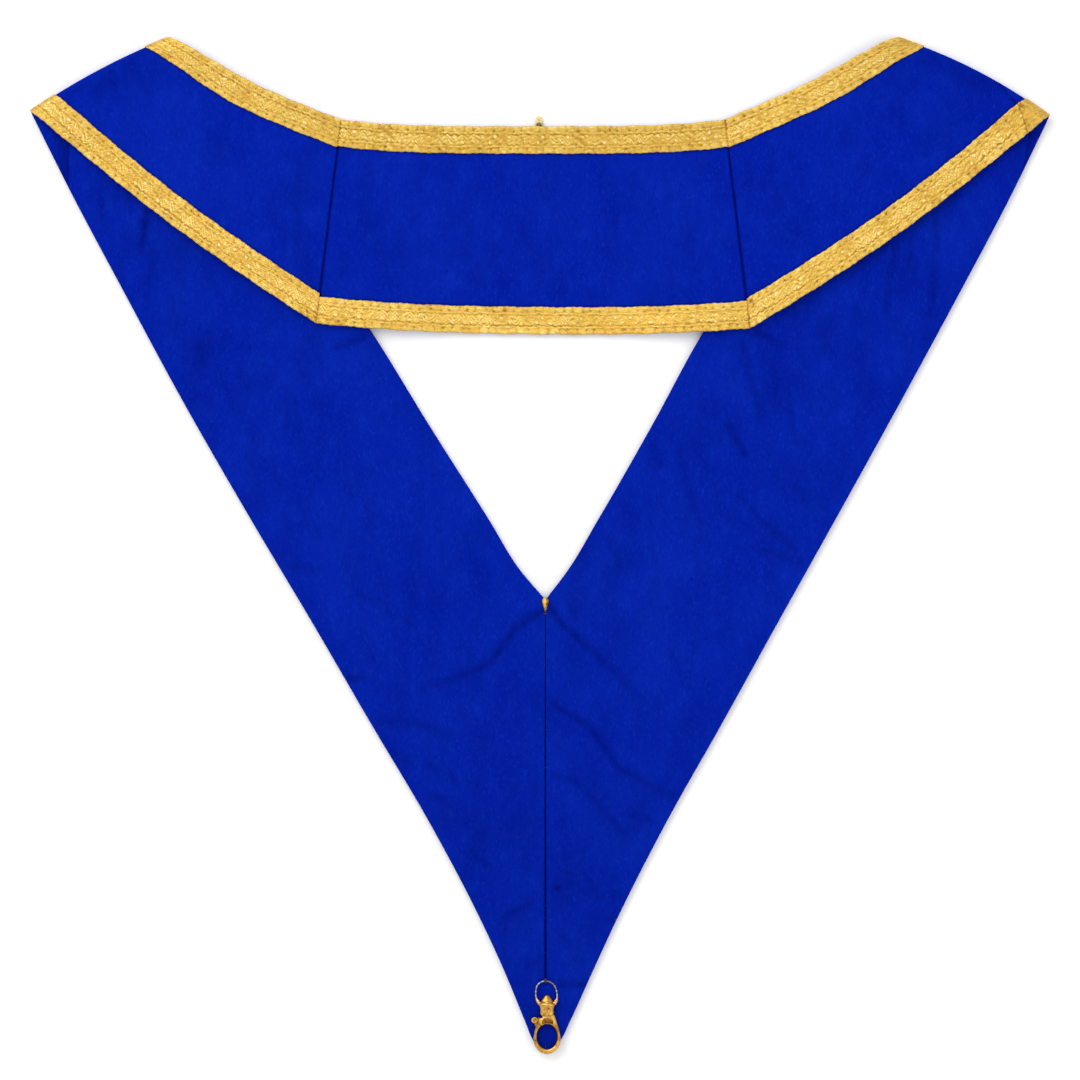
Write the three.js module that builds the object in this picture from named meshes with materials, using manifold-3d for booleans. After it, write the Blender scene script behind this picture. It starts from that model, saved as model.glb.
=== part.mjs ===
// A regalia collar laid flat on a table. The neck and shoulder panels lie face up. At each shoulder
// the collar folds over, and the two front lappets lie beneath with their lining up, meeting in a
// V whose point carries a small swivel clasp. Millimetres, +X to the right, +Y towards the neck,
// +Z up, with the origin on the table under the middle of the plan.
import * as THREE from "three";
import Module from "manifold-3d";
import { mergeVertices } from "three/addons/utils/BufferGeometryUtils.js";

const wasm = await Module();
wasm.setup();

// Cloth, lining and braid
const clothWall = 1.0;
const liningWall = 1.0;
const braidWall = 1.0;
const braidWidth = 13.5;
const plyGap = 0.3;
const layerGap = 0.4;
const seamGap = 0.4;
const edgeStep = 0.6;

// The collar as it lies, in plan
const collarWidth = 501;
const peakSpan = 357.7;
const neckDip = 44.6;
const foldDrop = 37.5;
const neckSpan = 188.2;
const lowerSpan = 212.5;
const bandWidth = 102;
const neckEdgeBow = 3.4;
const lowerEdgeBow = 4.0;
const windowDepth = 130.1;
const seamLength = 220;
const backOffset = -3.4;
const pointOffset = 2.65;
const shoulderNeckBow = 1.1;
const shoulderLowerBow = 3.1;
const foldBow = 2.8;

// How flat the bowed edges of the neck panel are in their middle
const neckEdgeFlatness = 4;
const lowerEdgeFlatness = 2.5;

// How it lies, in height
const foldRadius = 0.8;
const loftLength = 32;
const drapeStart = 4;
const drapeLength = 45;
const bellyEase = 14;

// The shoulder seam, as a run past the fold
const shoulderSeamRun = 1.5;

// The clasp
const claspOffset = 0.8;
const claspRest = 0.3;
const eyeAboveTip = 6.1;
const eyeWidth = 9.8;
const eyeHeight = 11.9;
const clawWidth = 13.4;
const clawFoot = 2.7;
const clawWall = 3.2;
const clawRound = 0.4;
const neckUp = 10.9;
const barrelWidth = 6.8;
const barrelDepth = 3.8;
const barrelLength = 5.8;
const barrelSunk = 1.7;
const runningGap = 0.3;
const postRadius = 1.0;
const headRadius = 2.6;
const headHeight = 3.0;
const footHeight = 1.9;
const footSpan = 7.6;
const ringWidth = 10.3;
const ringRise = 10.9;
const ringWire = 1.0;
const ringLean = 0.07;

// The clasp's gate
const pivotAcross = 2.3;
const pivotUp = 7.6;
const cheekRadius = 1.6;
const pinRadius = 0.6;
const pinGap = 0.15;
const earWall = 1.1;
const gateReach = 10.0;
const gateSwing = 25;
const knobRadius = 1.8;
const knobAcross = 3.7;
const knobUp = 0.5;
const webReach = 1.0;
const postSunk = 1.0;

// Small trim
const loopWire = 1.1;
const loopWidth = 3.6;
const loopHeight = 4.9;
const loopOffset = -0.5;
const tabWidth = 3.4;
const tabLength = 7.4;
const tabWall = 0.8;
const tabAbove = 1.3;
const stitchWire = 0.5;

// Rows and columns of the faceted surfaces
const shoulderRows = 8;
const bendRows = 8;
const lappetRows = 14;
const neckRows = 16;
const roundSides = 12;
const wireSides = 8;
const capRows = 3;
const archSteps = 6;
const bowSteps = 28;
const loopSteps = 14;
const neckMiddleColumns = 4;

// Differences between the two sides, as shares of the sizes above
const sideShares = {
  left: { foldDrop: 0.97, foldBow: 0.8, neckBow: 1.45, lowerBow: 0.87, seamLift: 0.3, earFrom: 0.75 },
  right: { foldDrop: 1.03, foldBow: 1.25, neckBow: 0.45, lowerBow: 1.13, seamLift: -0.3, earFrom: 0.92 },
};

// Where the outer braid of each side is joined: shares of the way along the shoulder (up to 1),
// round the fold (1 to 2) and down the lappet (2 to 3)
const braidJoints = { left: 2.012, right: 0.935 };

// Share of the lappet's length that the lining seam's outer end runs past the fold
const earRuns = { left: 0.066, right: 0.044 };

// The lappets' outer edge, from the fold tip down to the point, as shares of its drop and of its
// distance from the centre seam
const outerEdge = [
  { down: 0.0, left: 1.0, right: 1.0 },
  { down: 0.085, left: 0.922, right: 0.923 },
  { down: 0.187, left: 0.823, right: 0.823 },
  { down: 0.303, left: 0.709, right: 0.7065 },
  { down: 0.436, left: 0.5696, right: 0.5702 },
  { down: 0.543, left: 0.4535, right: 0.4596 },
  { down: 0.649, left: 0.3413, right: 0.3509 },
  { down: 0.755, left: 0.2271, right: 0.2403 },
  { down: 0.862, left: 0.1246, right: 0.1395 },
  { down: 0.915, left: 0.0801, right: 0.0941 },
  { down: 0.969, left: 0.0395, right: 0.0486 },
  { down: 0.989, left: 0.024, right: 0.0298 },
  { down: 0.9985, left: 0.012, right: 0.0135 },
  { down: 1.0, left: 0.0, right: 0.0 },
];

// The lappets' inner edge, from the fold peak down to the apex of the V
const innerEdge = [
  { down: 0.0, left: 1.0, right: 1.0 },
  { down: 0.28, left: 0.716, right: 0.712 },
  { down: 0.528, left: 0.4568, right: 0.4441 },
  { down: 0.681, left: 0.3164, right: 0.3108 },
  { down: 0.858, left: 0.1494, right: 0.1492 },
  { down: 0.947, left: 0.0673, right: 0.0641 },
  { down: 1.0, left: 0.0, right: 0.0 },
];

// One side of the claw, from its widest place up to the neck, as shares of half its width and of
// the neck's height
const clawSide = [
  { across: 1.0, up: -0.1 },
  { across: 0.91, up: 0.27 },
  { across: 0.75, up: 0.62 },
  { across: 0.54, up: 1.0 },
];

// Half of the swivel bow, from its foot to its top, as shares of half its width and of its rise
const bowShape = [
  { across: 0.74, up: 0.0 },
  { across: 0.97, up: 0.21 },
  { across: 1.0, up: 0.5 },
  { across: 0.74, up: 0.84 },
  { across: 0.0, up: 1.0 },
];

// Half of the barrel and of the rivet head, from the bottom up, as shares of their radius and height
const barrelProfile = [
  { out: 0.0, up: 0.0 },
  { out: 0.91, up: 0.07 },
  { out: 1.0, up: 0.3 },
  { out: 0.97, up: 0.75 },
  { out: 0.82, up: 1.0 },
  { out: 0.0, up: 1.0 },
];
const headProfile = [
  { out: 0.0, up: 0.0 },
  { out: 1.0, up: 0.0 },
  { out: 0.85, up: 0.35 },
  { out: 0.0, up: 1.0 },
];

// The bulge of the apex tab's sides, as shares of half its width and of its length
const tabBulge = { across: 0.6, down: 0.45 };

// Distances of each ply from the middle of the fold
const liningIn = layerGap / 2;
const liningOut = liningIn + liningWall;
const clothIn = liningOut + plyGap;
const clothOut = clothIn + clothWall;
const braidIn = clothOut + plyGap;
const braidOut = braidIn + braidWall;
const foldHeight = braidOut;
const bendReach = foldRadius + braidOut;
const drapeDrop = foldHeight + liningIn;
const liningTop = foldHeight - liningIn;

// Levels down the plan
const clawBelow = eyeHeight / 2 + clawFoot;
const collarHeight = neckDip + bandWidth + windowDepth + seamLength + clawBelow - eyeAboveTip;
const peakY = collarHeight / 2;
const neckMidY = peakY - neckDip;
const lowerMidY = neckMidY - bandWidth;
const apexY = lowerMidY - windowDepth;
const pointY = apexY - seamLength;
const eyeY = pointY + eyeAboveTip;

const blueCloth = { color: 0x02209f, roughness: 0.85, metalness: 0.0 };
const blueLining = { color: 0x021c98, roughness: 0.8, metalness: 0.0 };
const goldLace = { color: 0xe0b24a, roughness: 0.45, metalness: 0.5 };
const goldMetal = { color: 0xd9a441, roughness: 0.3, metalness: 1.0 };
const blueThread = { color: 0x0a1250, roughness: 0.8, metalness: 0.0 };

const collar = new THREE.Group();

function addMesh(name, geometry, finish) {
  const mesh = new THREE.Mesh(geometry, new THREE.MeshStandardMaterial(finish));
  mesh.name = name;
  collar.add(mesh);
  return mesh;
}

// Plan geometry: points are [x, y]
const mix = (a, b, share) => a + (b - a) * share;
const between = (p, q, share) => [mix(p[0], q[0], share), mix(p[1], q[1], share)];
const minus = (p, q) => [p[0] - q[0], p[1] - q[1]];
const cross = (p, q) => p[0] * q[1] - p[1] * q[0];
const unit = (p) => [p[0] / Math.hypot(...p), p[1] / Math.hypot(...p)];
const shifted = (p, direction, by) => [p[0] + direction[0] * by, p[1] + direction[1] * by];
const limited = (value, low, high) => Math.min(high, Math.max(low, value));

// 0 below 0, 1 above 1, and a smooth rise between
function ease(value) {
  const t = limited(value, 0, 1);
  return t * t * (3 - 2 * t);
}

// A table's column at a given share of the way down
function readTable(rows, column, down) {
  const above = rows.findLastIndex((row) => row.down <= down);
  const from = rows[limited(above, 0, rows.length - 2)];
  const to = rows[limited(above, 0, rows.length - 2) + 1];
  return mix(from[column], to[column], (down - from.down) / (to.down - from.down));
}

// A chord bent sideways by an arch that is highest in its middle
function bowed(from, to, share, bow, sharpness = 2) {
  const along = unit(minus(to, from));
  const arch = 1 - Math.abs(2 * share - 1) ** sharpness;
  return shifted(between(from, to, share), [-along[1], along[0]], bow * arch);
}

// Everything about one side that follows from the sizes: the fold line, the seams and the edges
function makeSide(column, sign) {
  const shares = sideShares[column];
  const peak = [backOffset + (sign * peakSpan) / 2, peakY];
  const tip = [(sign * collarWidth) / 2, peakY - foldDrop * shares.foldDrop];
  const along = unit(minus(tip, peak));
  const outward = [-sign * along[1], sign * along[0]];
  const foldPeak = shifted(peak, outward, -bendReach);
  const foldTip = shifted(tip, outward, -bendReach);
  const neckSeam = [backOffset + (sign * neckSpan) / 2, neckMidY + neckEdgeBow];
  const lowerLift = lowerEdgeBow * (1 + shares.seamLift);
  const lowerSeam = [backOffset + (sign * lowerSpan) / 2, lowerMidY + lowerLift];
  const apex = [pointOffset, apexY];
  const seamX = pointOffset + (sign * seamGap) / 2;
  const edgeFrom = (rows, start, endY) => (down) => [
    seamX + (start[0] - seamX) * readTable(rows, column, down),
    mix(start[1], endY, down),
  ];
  return {
    column,
    sign,
    shares,
    outward,
    foldPeak,
    foldTip,
    neckSeam,
    lowerSeam,
    apex,
    shoulderNeck: (t) => bowed(neckSeam, foldPeak, t, -sign * shoulderNeckBow * shares.neckBow),
    shoulderLower: (t) => bowed(lowerSeam, foldTip, t, -sign * shoulderLowerBow * shares.lowerBow),
    lappetInner: edgeFrom(innerEdge, foldPeak, apexY),
    lappetOuter: edgeFrom(outerEdge, foldTip, pointY),
  };
}

const left = makeSide("left", -1);
const right = makeSide("right", 1);

// How far a point lies inside the V from a lappet's inner edge
function pastLappet(side, p) {
  const along = unit(minus(side.apex, side.foldPeak));
  return side.sign * cross(minus(p, side.foldPeak), along);
}

// Where no lappet lies beneath, the upper layer sinks to the table
function drape(p) {
  const sinks = [left, right].map((side) => ease((pastLappet(side, p) - drapeStart) / drapeLength));
  return drapeDrop * sinks[0] * sinks[1];
}

// The middle of the fold line is pushed outwards, and the push dies away from the fold
function foldPush(side, p, across) {
  const away = Math.abs(cross(minus(p, side.foldPeak), unit(minus(side.foldTip, side.foldPeak))));
  const arch = 4 * across * (1 - across);
  const push = foldBow * side.shares.foldBow * arch * (1 - ease(away / loftLength));
  return shifted(p, side.outward, push);
}

// The two edges of a side's strip at a place along it: up to 1 on the shoulder, 1 to 2 round the
// fold, 2 to 3 on the lappet
function sideEdges(side, place) {
  if (place <= 1) return [side.shoulderNeck(place), side.shoulderLower(place)];
  if (place <= 2) return [side.foldPeak, side.foldTip];
  return [side.lappetInner(place - 2), side.lappetOuter(place - 2)];
}

// The sine of the angle between a ruling of the strip and its inner or outer edge, found by a short
// step along that edge that stays clear of the rounded tip
const edgeStretch = 0.03;
const tipStretch = 0.01;

function rulingSine(side, place, which) {
  if (place > 1 && place < 2) {
    return mix(rulingSine(side, 1, which), rulingSine(side, 2, which), place - 1);
  }
  const last = (place <= 1 ? 1 : 3 - tipStretch) - edgeStretch;
  const start = place === 2 ? 2 + edgeStretch : Math.min(place, last);
  const a = sideEdges(side, start)[which];
  const b = sideEdges(side, start + edgeStretch)[which];
  const [inner, outer] = sideEdges(side, place);
  return Math.abs(cross(unit(minus(b, a)), unit(minus(outer, inner))));
}

// The share across a strip at which a point lies a given distance in from one of its edges
function acrossAt(side, place, which, reach) {
  const [inner, outer] = sideEdges(side, place);
  const length = Math.hypot(...minus(outer, inner));
  const share = reach / rulingSine(side, place, which) / length;
  return which === 0 ? share : 1 - share;
}

// The middle of the lappets sinks between the braids beneath it
function belly(side, place, across) {
  const [inner, outer] = sideEdges(side, place);
  const length = Math.hypot(...minus(outer, inner));
  const fromInner = across * length * rulingSine(side, place, 0);
  const fromOuter = (1 - across) * length * rulingSine(side, place, 1);
  const inside = Math.min(fromInner, fromOuter) - braidWidth - edgeStep;
  const nearFold = 0.12;
  return (braidWall + plyGap) * ease(inside / bellyEase) * ease((place - 2) / nearFold);
}

// A point of a side's strip, at a ply's distance from the middle of the fold
function sidePoint(side, place, across, ply, sinks) {
  const [inner, outer] = sideEdges(side, place);
  const flat = between(inner, outer, across);
  const p = foldPush(side, flat, across);
  if (place <= 1) {
    const fromFold = Math.abs(
      cross(minus(flat, side.foldPeak), unit(minus(side.foldTip, side.foldPeak))),
    );
    const loft = 2 * foldRadius * (1 - ease(fromFold / loftLength));
    return [...p, foldHeight + loft + ply - drape(flat)];
  }
  if (place < 2) {
    const turn = (place - 1) * Math.PI;
    const radius = foldRadius + ply;
    const q = shifted(p, side.outward, radius * Math.sin(turn));
    return [...q, foldHeight + foldRadius + radius * Math.cos(turn)];
  }
  return [...p, foldHeight - ply - (sinks ? belly(side, place, across) : 0)];
}

// A point of the neck panel's strip, which runs from the left seam to the right one
function neckPoint(place, across, ply) {
  const top = bowed(left.neckSeam, right.neckSeam, place, -neckEdgeBow, neckEdgeFlatness);
  const bottom = bowed(left.lowerSeam, right.lowerSeam, place, -lowerEdgeBow, lowerEdgeFlatness);
  const p = between(top, bottom, across);
  return [...p, foldHeight + ply - drape(p)];
}

// A closed wall between an inner and an outer grid of points, with its faces turned outwards
function wallGeometry(rows, columns, pointAt) {
  const positions = [];
  for (const ply of [0, 1]) {
    for (let i = 0; i < rows; i += 1) {
      for (let j = 0; j < columns; j += 1) positions.push(...pointAt(i, j, ply));
    }
  }
  const at = (i, j, ply) => ply * rows * columns + i * columns + j;
  const faces = [];
  const quad = (a, b, c, d) => faces.push(a, b, c, a, c, d);
  for (let i = 0; i < rows - 1; i += 1) {
    for (let j = 0; j < columns - 1; j += 1) {
      quad(at(i, j, 1), at(i + 1, j, 1), at(i + 1, j + 1, 1), at(i, j + 1, 1));
      quad(at(i, j, 0), at(i, j + 1, 0), at(i + 1, j + 1, 0), at(i + 1, j, 0));
    }
    const last = columns - 1;
    quad(at(i, 0, 0), at(i + 1, 0, 0), at(i + 1, 0, 1), at(i, 0, 1));
    quad(at(i, last, 1), at(i + 1, last, 1), at(i + 1, last, 0), at(i, last, 0));
  }
  for (let j = 0; j < columns - 1; j += 1) {
    const last = rows - 1;
    quad(at(0, j, 1), at(0, j + 1, 1), at(0, j + 1, 0), at(0, j, 0));
    quad(at(last, j, 0), at(last, j + 1, 0), at(last, j + 1, 1), at(last, j, 1));
  }
  const geometry = new THREE.BufferGeometry();
  geometry.setAttribute("position", new THREE.Float32BufferAttribute(positions, 3));
  geometry.setIndex(volumeOf(positions, faces) < 0 ? faces.reverse() : faces);
  return geometry;
}

function volumeOf(positions, faces) {
  const corner = (k) => new THREE.Vector3().fromArray(positions, faces[k] * 3);
  let volume = 0;
  for (let k = 0; k < faces.length; k += 3) {
    volume += corner(k).dot(corner(k + 1).cross(corner(k + 2))) / 6;
  }
  return volume;
}

const evenly = (count, from, to) =>
  Array.from({ length: count + 1 }, (_, i) => mix(from, to, i / count));

// The rows of a side's strip between two places, with even steps in each of its stretches
function sideRows(from, to) {
  const all = [
    ...evenly(shoulderRows, 0, 1),
    ...evenly(bendRows, 1, 2),
    ...evenly(lappetRows, 2, 3),
    ...outerEdge.slice(-4).map((row) => 2 + row.down),
  ];
  const apart = 0.001;
  const within = all.filter((place) => place > from + apart && place < to - apart);
  const sorted = [from, ...within, to].sort((a, b) => a - b);
  return sorted.filter((place, i) => i === 0 || place - sorted[i - 1] > apart / 2);
}

// Small shares of the strips that leave the seams' gaps
const shoulderLength = (side) => Math.hypot(...minus(side.foldPeak, side.neckSeam));
const seamShare = (side) => seamGap / 2 / shoulderLength(side);
const neckSeamShare = seamGap / 2 / neckSpan;
const lappetLength = peakY - apexY;
const lappetGapShare = seamGap / lappetLength;
const seamRunShare = shoulderSeamRun / lappetLength;

// The lining seam turns away from the fold towards its outer end
function earAt(side, across) {
  const { earFrom } = side.shares;
  return earRuns[side.column] * limited((across - earFrom) / (1 - earFrom), 0, 1);
}

// The columns of a cloth strip: its two edges, the edges of both braids, and its middle
const clothReaches = [0, braidWidth + edgeStep, braidWidth + bellyEase / 2, braidWidth + bellyEase];

function clothColumns(side, place, inset) {
  const near = clothReaches.map((reach) => acrossAt(side, place, 0, Math.max(reach, inset)));
  const far = clothReaches.map((reach) => acrossAt(side, place, 1, Math.max(reach, inset)));
  return [...near, (near[3] + far[3]) / 2, ...far.reverse()];
}

// The cloth's edge lies just inside the braid's above the fold, and just outside it below
const clothInset = (place) => edgeStep * (1 - limited(place - 1, 0, 1));
const braidInset = (place) => edgeStep * limited(place - 1, 0, 1);

function shoulderWall(side, plies) {
  const rows = sideRows(seamShare(side), 2);
  rows.push(2 + seamRunShare);
  const columns = rows.map((place) => clothColumns(side, place, clothInset(place)));
  return wallGeometry(rows.length, columns[0].length, (i, j, ply) => {
    const across = columns[i][j];
    const last = i === rows.length - 1;
    const place = last ? rows[i] + earAt(side, across) : rows[i];
    return sidePoint(side, place, across, plies[ply], false);
  });
}

function lappetWall(side, plies) {
  const start = 2 + seamRunShare + lappetGapShare;
  const rows = sideRows(start, 3);
  const columns = rows.map((place) => clothColumns(side, place, clothInset(place)));
  return wallGeometry(rows.length, columns[0].length, (i, j, ply) => {
    const across = columns[i][j];
    const nearSeam = (3 - rows[i]) / (3 - start);
    return sidePoint(side, rows[i] + nearSeam * earAt(side, across), across, plies[ply], true);
  });
}

// A braid along the inner edge (0) or the outer one (1) of a side's strip
function sideBraid(side, which, from, to) {
  const rows = sideRows(from, to);
  return wallGeometry(rows.length, 2, (i, j, ply) => {
    const reach = braidInset(rows[i]) + j * braidWidth;
    const across = acrossAt(side, rows[i], which, reach);
    return sidePoint(side, rows[i], across, ply ? braidOut : braidIn, false);
  });
}

function neckWall() {
  const rows = evenly(neckRows, neckSeamShare, 1 - neckSeamShare);
  const inset = edgeStep / bandWidth;
  const braid = (braidWidth + edgeStep) / bandWidth;
  const middle = evenly(neckMiddleColumns, 1 / 4, 3 / 4);
  const columns = [inset, braid, ...middle, 1 - braid, 1 - inset];
  return wallGeometry(rows.length, columns.length, (i, j, ply) =>
    neckPoint(rows[i], columns[j], ply ? clothOut : liningIn),
  );
}

function neckBraid(fromEdge, toEdge) {
  const rows = evenly(neckRows, neckSeamShare, 1 - neckSeamShare);
  return wallGeometry(rows.length, 2, (i, j, ply) =>
    neckPoint(rows[i], (j ? toEdge : fromEdge) / bandWidth, ply ? braidOut : braidIn),
  );
}

// Cloth and lining
addMesh("neck_panel", neckWall(), blueCloth);
for (const side of [left, right]) {
  const { column } = side;
  addMesh(`shoulder_face_${column}`, shoulderWall(side, [clothIn, clothOut]), blueCloth);
  addMesh(`shoulder_lining_${column}`, shoulderWall(side, [liningIn, liningOut]), blueLining);
  addMesh(`lappet_face_${column}`, lappetWall(side, [clothIn, clothOut]), blueCloth);
  addMesh(`lappet_lining_${column}`, lappetWall(side, [liningIn, liningOut]), blueLining);
}

// Braid
addMesh("neck_braid_upper", neckBraid(0, braidWidth), goldLace);
addMesh("neck_braid_lower", neckBraid(bandWidth - braidWidth, bandWidth), goldLace);
for (const side of [left, right]) {
  const { column } = side;
  const seam = seamShare(side);
  const innerJoint = 2 + seamRunShare;
  const outerJoint = braidJoints[column];
  const innerNext = innerJoint + lappetGapShare;
  const outerNext = outerJoint + (outerJoint < 1 ? 2 * seam : lappetGapShare);
  const named = (piece, which, from, to) =>
    addMesh(`${piece}_${column}`, sideBraid(side, which, from, to), goldLace);
  named("shoulder_braid_inner", 0, seam, innerJoint);
  named("shoulder_braid_outer", 1, seam, outerJoint);
  named("lappet_braid_inner", 0, innerNext, 3);
  named("lappet_braid_outer", 1, outerNext, 3);
}

// Solids for cutting and joining
function toSolid(geometry) {
  const bare = new THREE.BufferGeometry();
  const corners = geometry.index ? geometry.toNonIndexed() : geometry;
  bare.setAttribute("position", corners.getAttribute("position"));
  const merged = mergeVertices(bare);
  const index = Array.from(merged.index.array);
  const kept = [];
  for (let k = 0; k < index.length; k += 3) {
    const [i, j, l] = index.slice(k, k + 3);
    if (i !== j && j !== l && l !== i) kept.push(i, j, l);
  }
  return new wasm.Manifold(
    new wasm.Mesh({
      numProp: 3,
      vertProperties: merged.getAttribute("position").array,
      triVerts: new Uint32Array(kept),
    }),
  );
}

function toGeometry(solid) {
  const { vertProperties, triVerts } = solid.getMesh();
  const geometry = new THREE.BufferGeometry();
  geometry.setAttribute("position", new THREE.BufferAttribute(vertProperties, 3));
  geometry.setIndex(new THREE.BufferAttribute(triVerts, 1));
  return geometry;
}

// A plate of a shape, centred on the clasp's middle plane
function plate(shape, wall, round = 0) {
  const geometry = new THREE.ExtrudeGeometry(shape, {
    depth: wall - 2 * round,
    curveSegments: roundSides,
    bevelEnabled: round > 0,
    bevelThickness: round,
    bevelSize: round,
    bevelOffset: -round,
    bevelSegments: 1,
  });
  return toSolid(geometry.translate(0, 0, round - wall / 2));
}

// A round post along Y between two heights
function post(radius, low, high) {
  const geometry = new THREE.CylinderGeometry(radius, radius, high - low, roundSides);
  return toSolid(geometry.translate(0, (low + high) / 2, 0));
}

// A turned piece along Y above a height, flattened as the barrel is
function turned(profile, radius, low, height) {
  const points = profile.map(({ out, up }) => new THREE.Vector2(radius * out, low + height * up));
  const geometry = new THREE.LatheGeometry(points, roundSides);
  return toSolid(geometry.scale(1, 1, barrelDepth / barrelWidth));
}

// A sector of a ring about the gate's pivot, with its angles in degrees
function pivotSector(inner, outer, from, to) {
  const a = THREE.MathUtils.degToRad(from);
  const b = THREE.MathUtils.degToRad(to);
  const shape = new THREE.Shape();
  shape.absarc(-pivotAcross, pivotUp, outer, a, b, false);
  shape.absarc(-pivotAcross, pivotUp, inner, b, a, true);
  shape.closePath();
  return shape;
}

function disc(x, y, radius) {
  const shape = new THREE.Shape();
  shape.absarc(x, y, radius, 0, 2 * Math.PI, false);
  return shape;
}

// The claw's outline with the eye cut through, from the neck down one side and up the other
function clawShape() {
  const half = clawWidth / 2;
  const side = clawSide.map(({ across, up }) => new THREE.Vector2(half * across, neckUp * up));
  const other = side.map((p) => new THREE.Vector2(-p.x, p.y));
  const low = side[0].y;
  const shape = new THREE.Shape();
  shape.moveTo(side[3].x, side[3].y);
  shape.lineTo(other[3].x, other[3].y);
  shape.splineThru([other[2], other[1], other[0]]);
  shape.absellipse(0, low, half, clawBelow + low, Math.PI, 2 * Math.PI, false, 0);
  shape.splineThru([side[1], side[2], side[3]]);
  const eye = new THREE.Path();
  eye.absellipse(0, 0, eyeWidth / 2, eyeHeight / 2, 0, 2 * Math.PI, true, 0);
  shape.holes.push(eye);
  return shape;
}

// Heights along the clasp, above the eye's middle
const barrelLow = neckUp - barrelSunk;
const barrelHigh = barrelLow + barrelLength;
const footLow = barrelHigh + runningGap;
const footHigh = footLow + footHeight;
const headLow = footHigh + runningGap;
const footMid = (footLow + footHigh) / 2;
const claspX = pointOffset + claspOffset;
const claspZ = liningTop + claspRest + barrelDepth / 2;

// The gate's angles about its pivot: its own stretch, and the bay in which it swings
const gateFrom = 173;
const gateTo = 265;
const bayFrom = 140;
const bayMargin = 5;
const bayTo = gateTo + gateSwing + bayMargin;
const webTo = 255;

const clasp = new THREE.Group();
clasp.position.set(claspX, eyeY, claspZ);
collar.add(clasp);

function claspBody() {
  const barrel = turned(barrelProfile, barrelWidth / 2, barrelLow, barrelLength);
  const head = turned(headProfile, headRadius, headLow, headHeight);
  const bay = plate(pivotSector(cheekRadius, gateReach + runningGap, bayFrom, bayTo), 2 * clawWall);
  const slot = plate(disc(-pivotAcross, pivotUp, cheekRadius + pinGap), earWall + 2 * runningGap);
  const pin = plate(disc(-pivotAcross, pivotUp, pinRadius), clawWall);
  return plate(clawShape(), clawWall, clawRound)
    .add(barrel)
    .add(post(postRadius, barrelHigh - postSunk, headLow + postSunk))
    .add(head)
    .subtract(bay)
    .subtract(slot)
    .add(pin);
}

function claspGate() {
  const stretch = pivotSector(cheekRadius + runningGap, gateReach, gateFrom, gateTo);
  const band = plate(clawShape(), clawWall, clawRound).intersect(plate(stretch, clawWall));
  const knobX = -pivotAcross - knobAcross;
  const knob = plate(disc(knobX, pivotUp + knobUp, knobRadius), clawWall, clawRound);
  const ear = plate(disc(-pivotAcross, pivotUp, cheekRadius - runningGap), earWall);
  const web = plate(pivotSector(pinRadius, cheekRadius + webReach, gateFrom, webTo), earWall);
  const hole = plate(disc(-pivotAcross, pivotUp, pinRadius + pinGap), clawWall);
  return band.add(knob).add(ear).add(web).subtract(hole);
}

// A wire of round section along a curve, with closed ends
function wire(points, thickness, steps) {
  const path = new THREE.CatmullRomCurve3(points);
  const section = new THREE.Shape();
  const turn = (2 * Math.PI) / wireSides;
  for (let k = 0; k < wireSides; k += 1) {
    const x = (thickness / 2) * Math.cos(k * turn);
    const y = (thickness / 2) * Math.sin(k * turn);
    if (k === 0) section.moveTo(x, y);
    else section.lineTo(x, y);
  }
  section.closePath();
  return new THREE.ExtrudeGeometry(section, { steps, extrudePath: path, bevelEnabled: false });
}

// The bow's middle line, which sinks from the barrel's height to the lining at its top
const bowSink = barrelDepth / 2 - ringWire / 2;

function bowPoint(sign, { across, up }) {
  const rise = ringRise * up;
  const x = (sign * across * ringWidth) / 2 - ringLean * rise;
  return new THREE.Vector3(x, footMid + rise, -bowSink * up);
}

function swivelRing() {
  const sideOf = (sign) => bowShape.map((row) => bowPoint(sign, row));
  const points = [...sideOf(-1), ...sideOf(1).reverse().slice(1)];
  const bow = toSolid(wire(points, ringWire, bowSteps));
  const eyelet = post(barrelDepth / 2, footLow, footHigh);
  const bar = new THREE.CapsuleGeometry(footHeight / 2, footSpan, capRows, wireSides);
  const hole = post(postRadius + runningGap, footLow - postSunk, footHigh + postSunk);
  const foot = toSolid(bar.rotateZ(Math.PI / 2).translate(0, footMid, 0));
  return bow.add(foot).add(eyelet).subtract(hole);
}

// The thread over the bow's top, from the lining on one side to the lining on the other
function ringStitch() {
  const reach = ringWire / 2 + runningGap + stitchWire / 2;
  const topX = -ringLean * ringRise;
  const topY = footMid + ringRise;
  const arch = evenly(archSteps, 0, Math.PI).map(
    (turn) =>
      new THREE.Vector3(topX, topY - reach * Math.cos(turn), reach * Math.sin(turn) - bowSink),
  );
  const legs = [-1, 1].map(
    (sign) => new THREE.Vector3(topX, topY + sign * reach, -barrelDepth / 2),
  );
  return wire([legs[0], ...arch, legs[1]], stitchWire, loopSteps);
}

function addToClasp(name, geometry, finish) {
  clasp.add(addMesh(name, geometry, finish));
}

addToClasp("clasp_body", toGeometry(claspBody()), goldMetal);
addToClasp("clasp_gate", toGeometry(claspGate()), goldMetal);
addToClasp("swivel_ring", toGeometry(swivelRing()), goldMetal);
addToClasp("ring_stitch", ringStitch(), blueThread);

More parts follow.
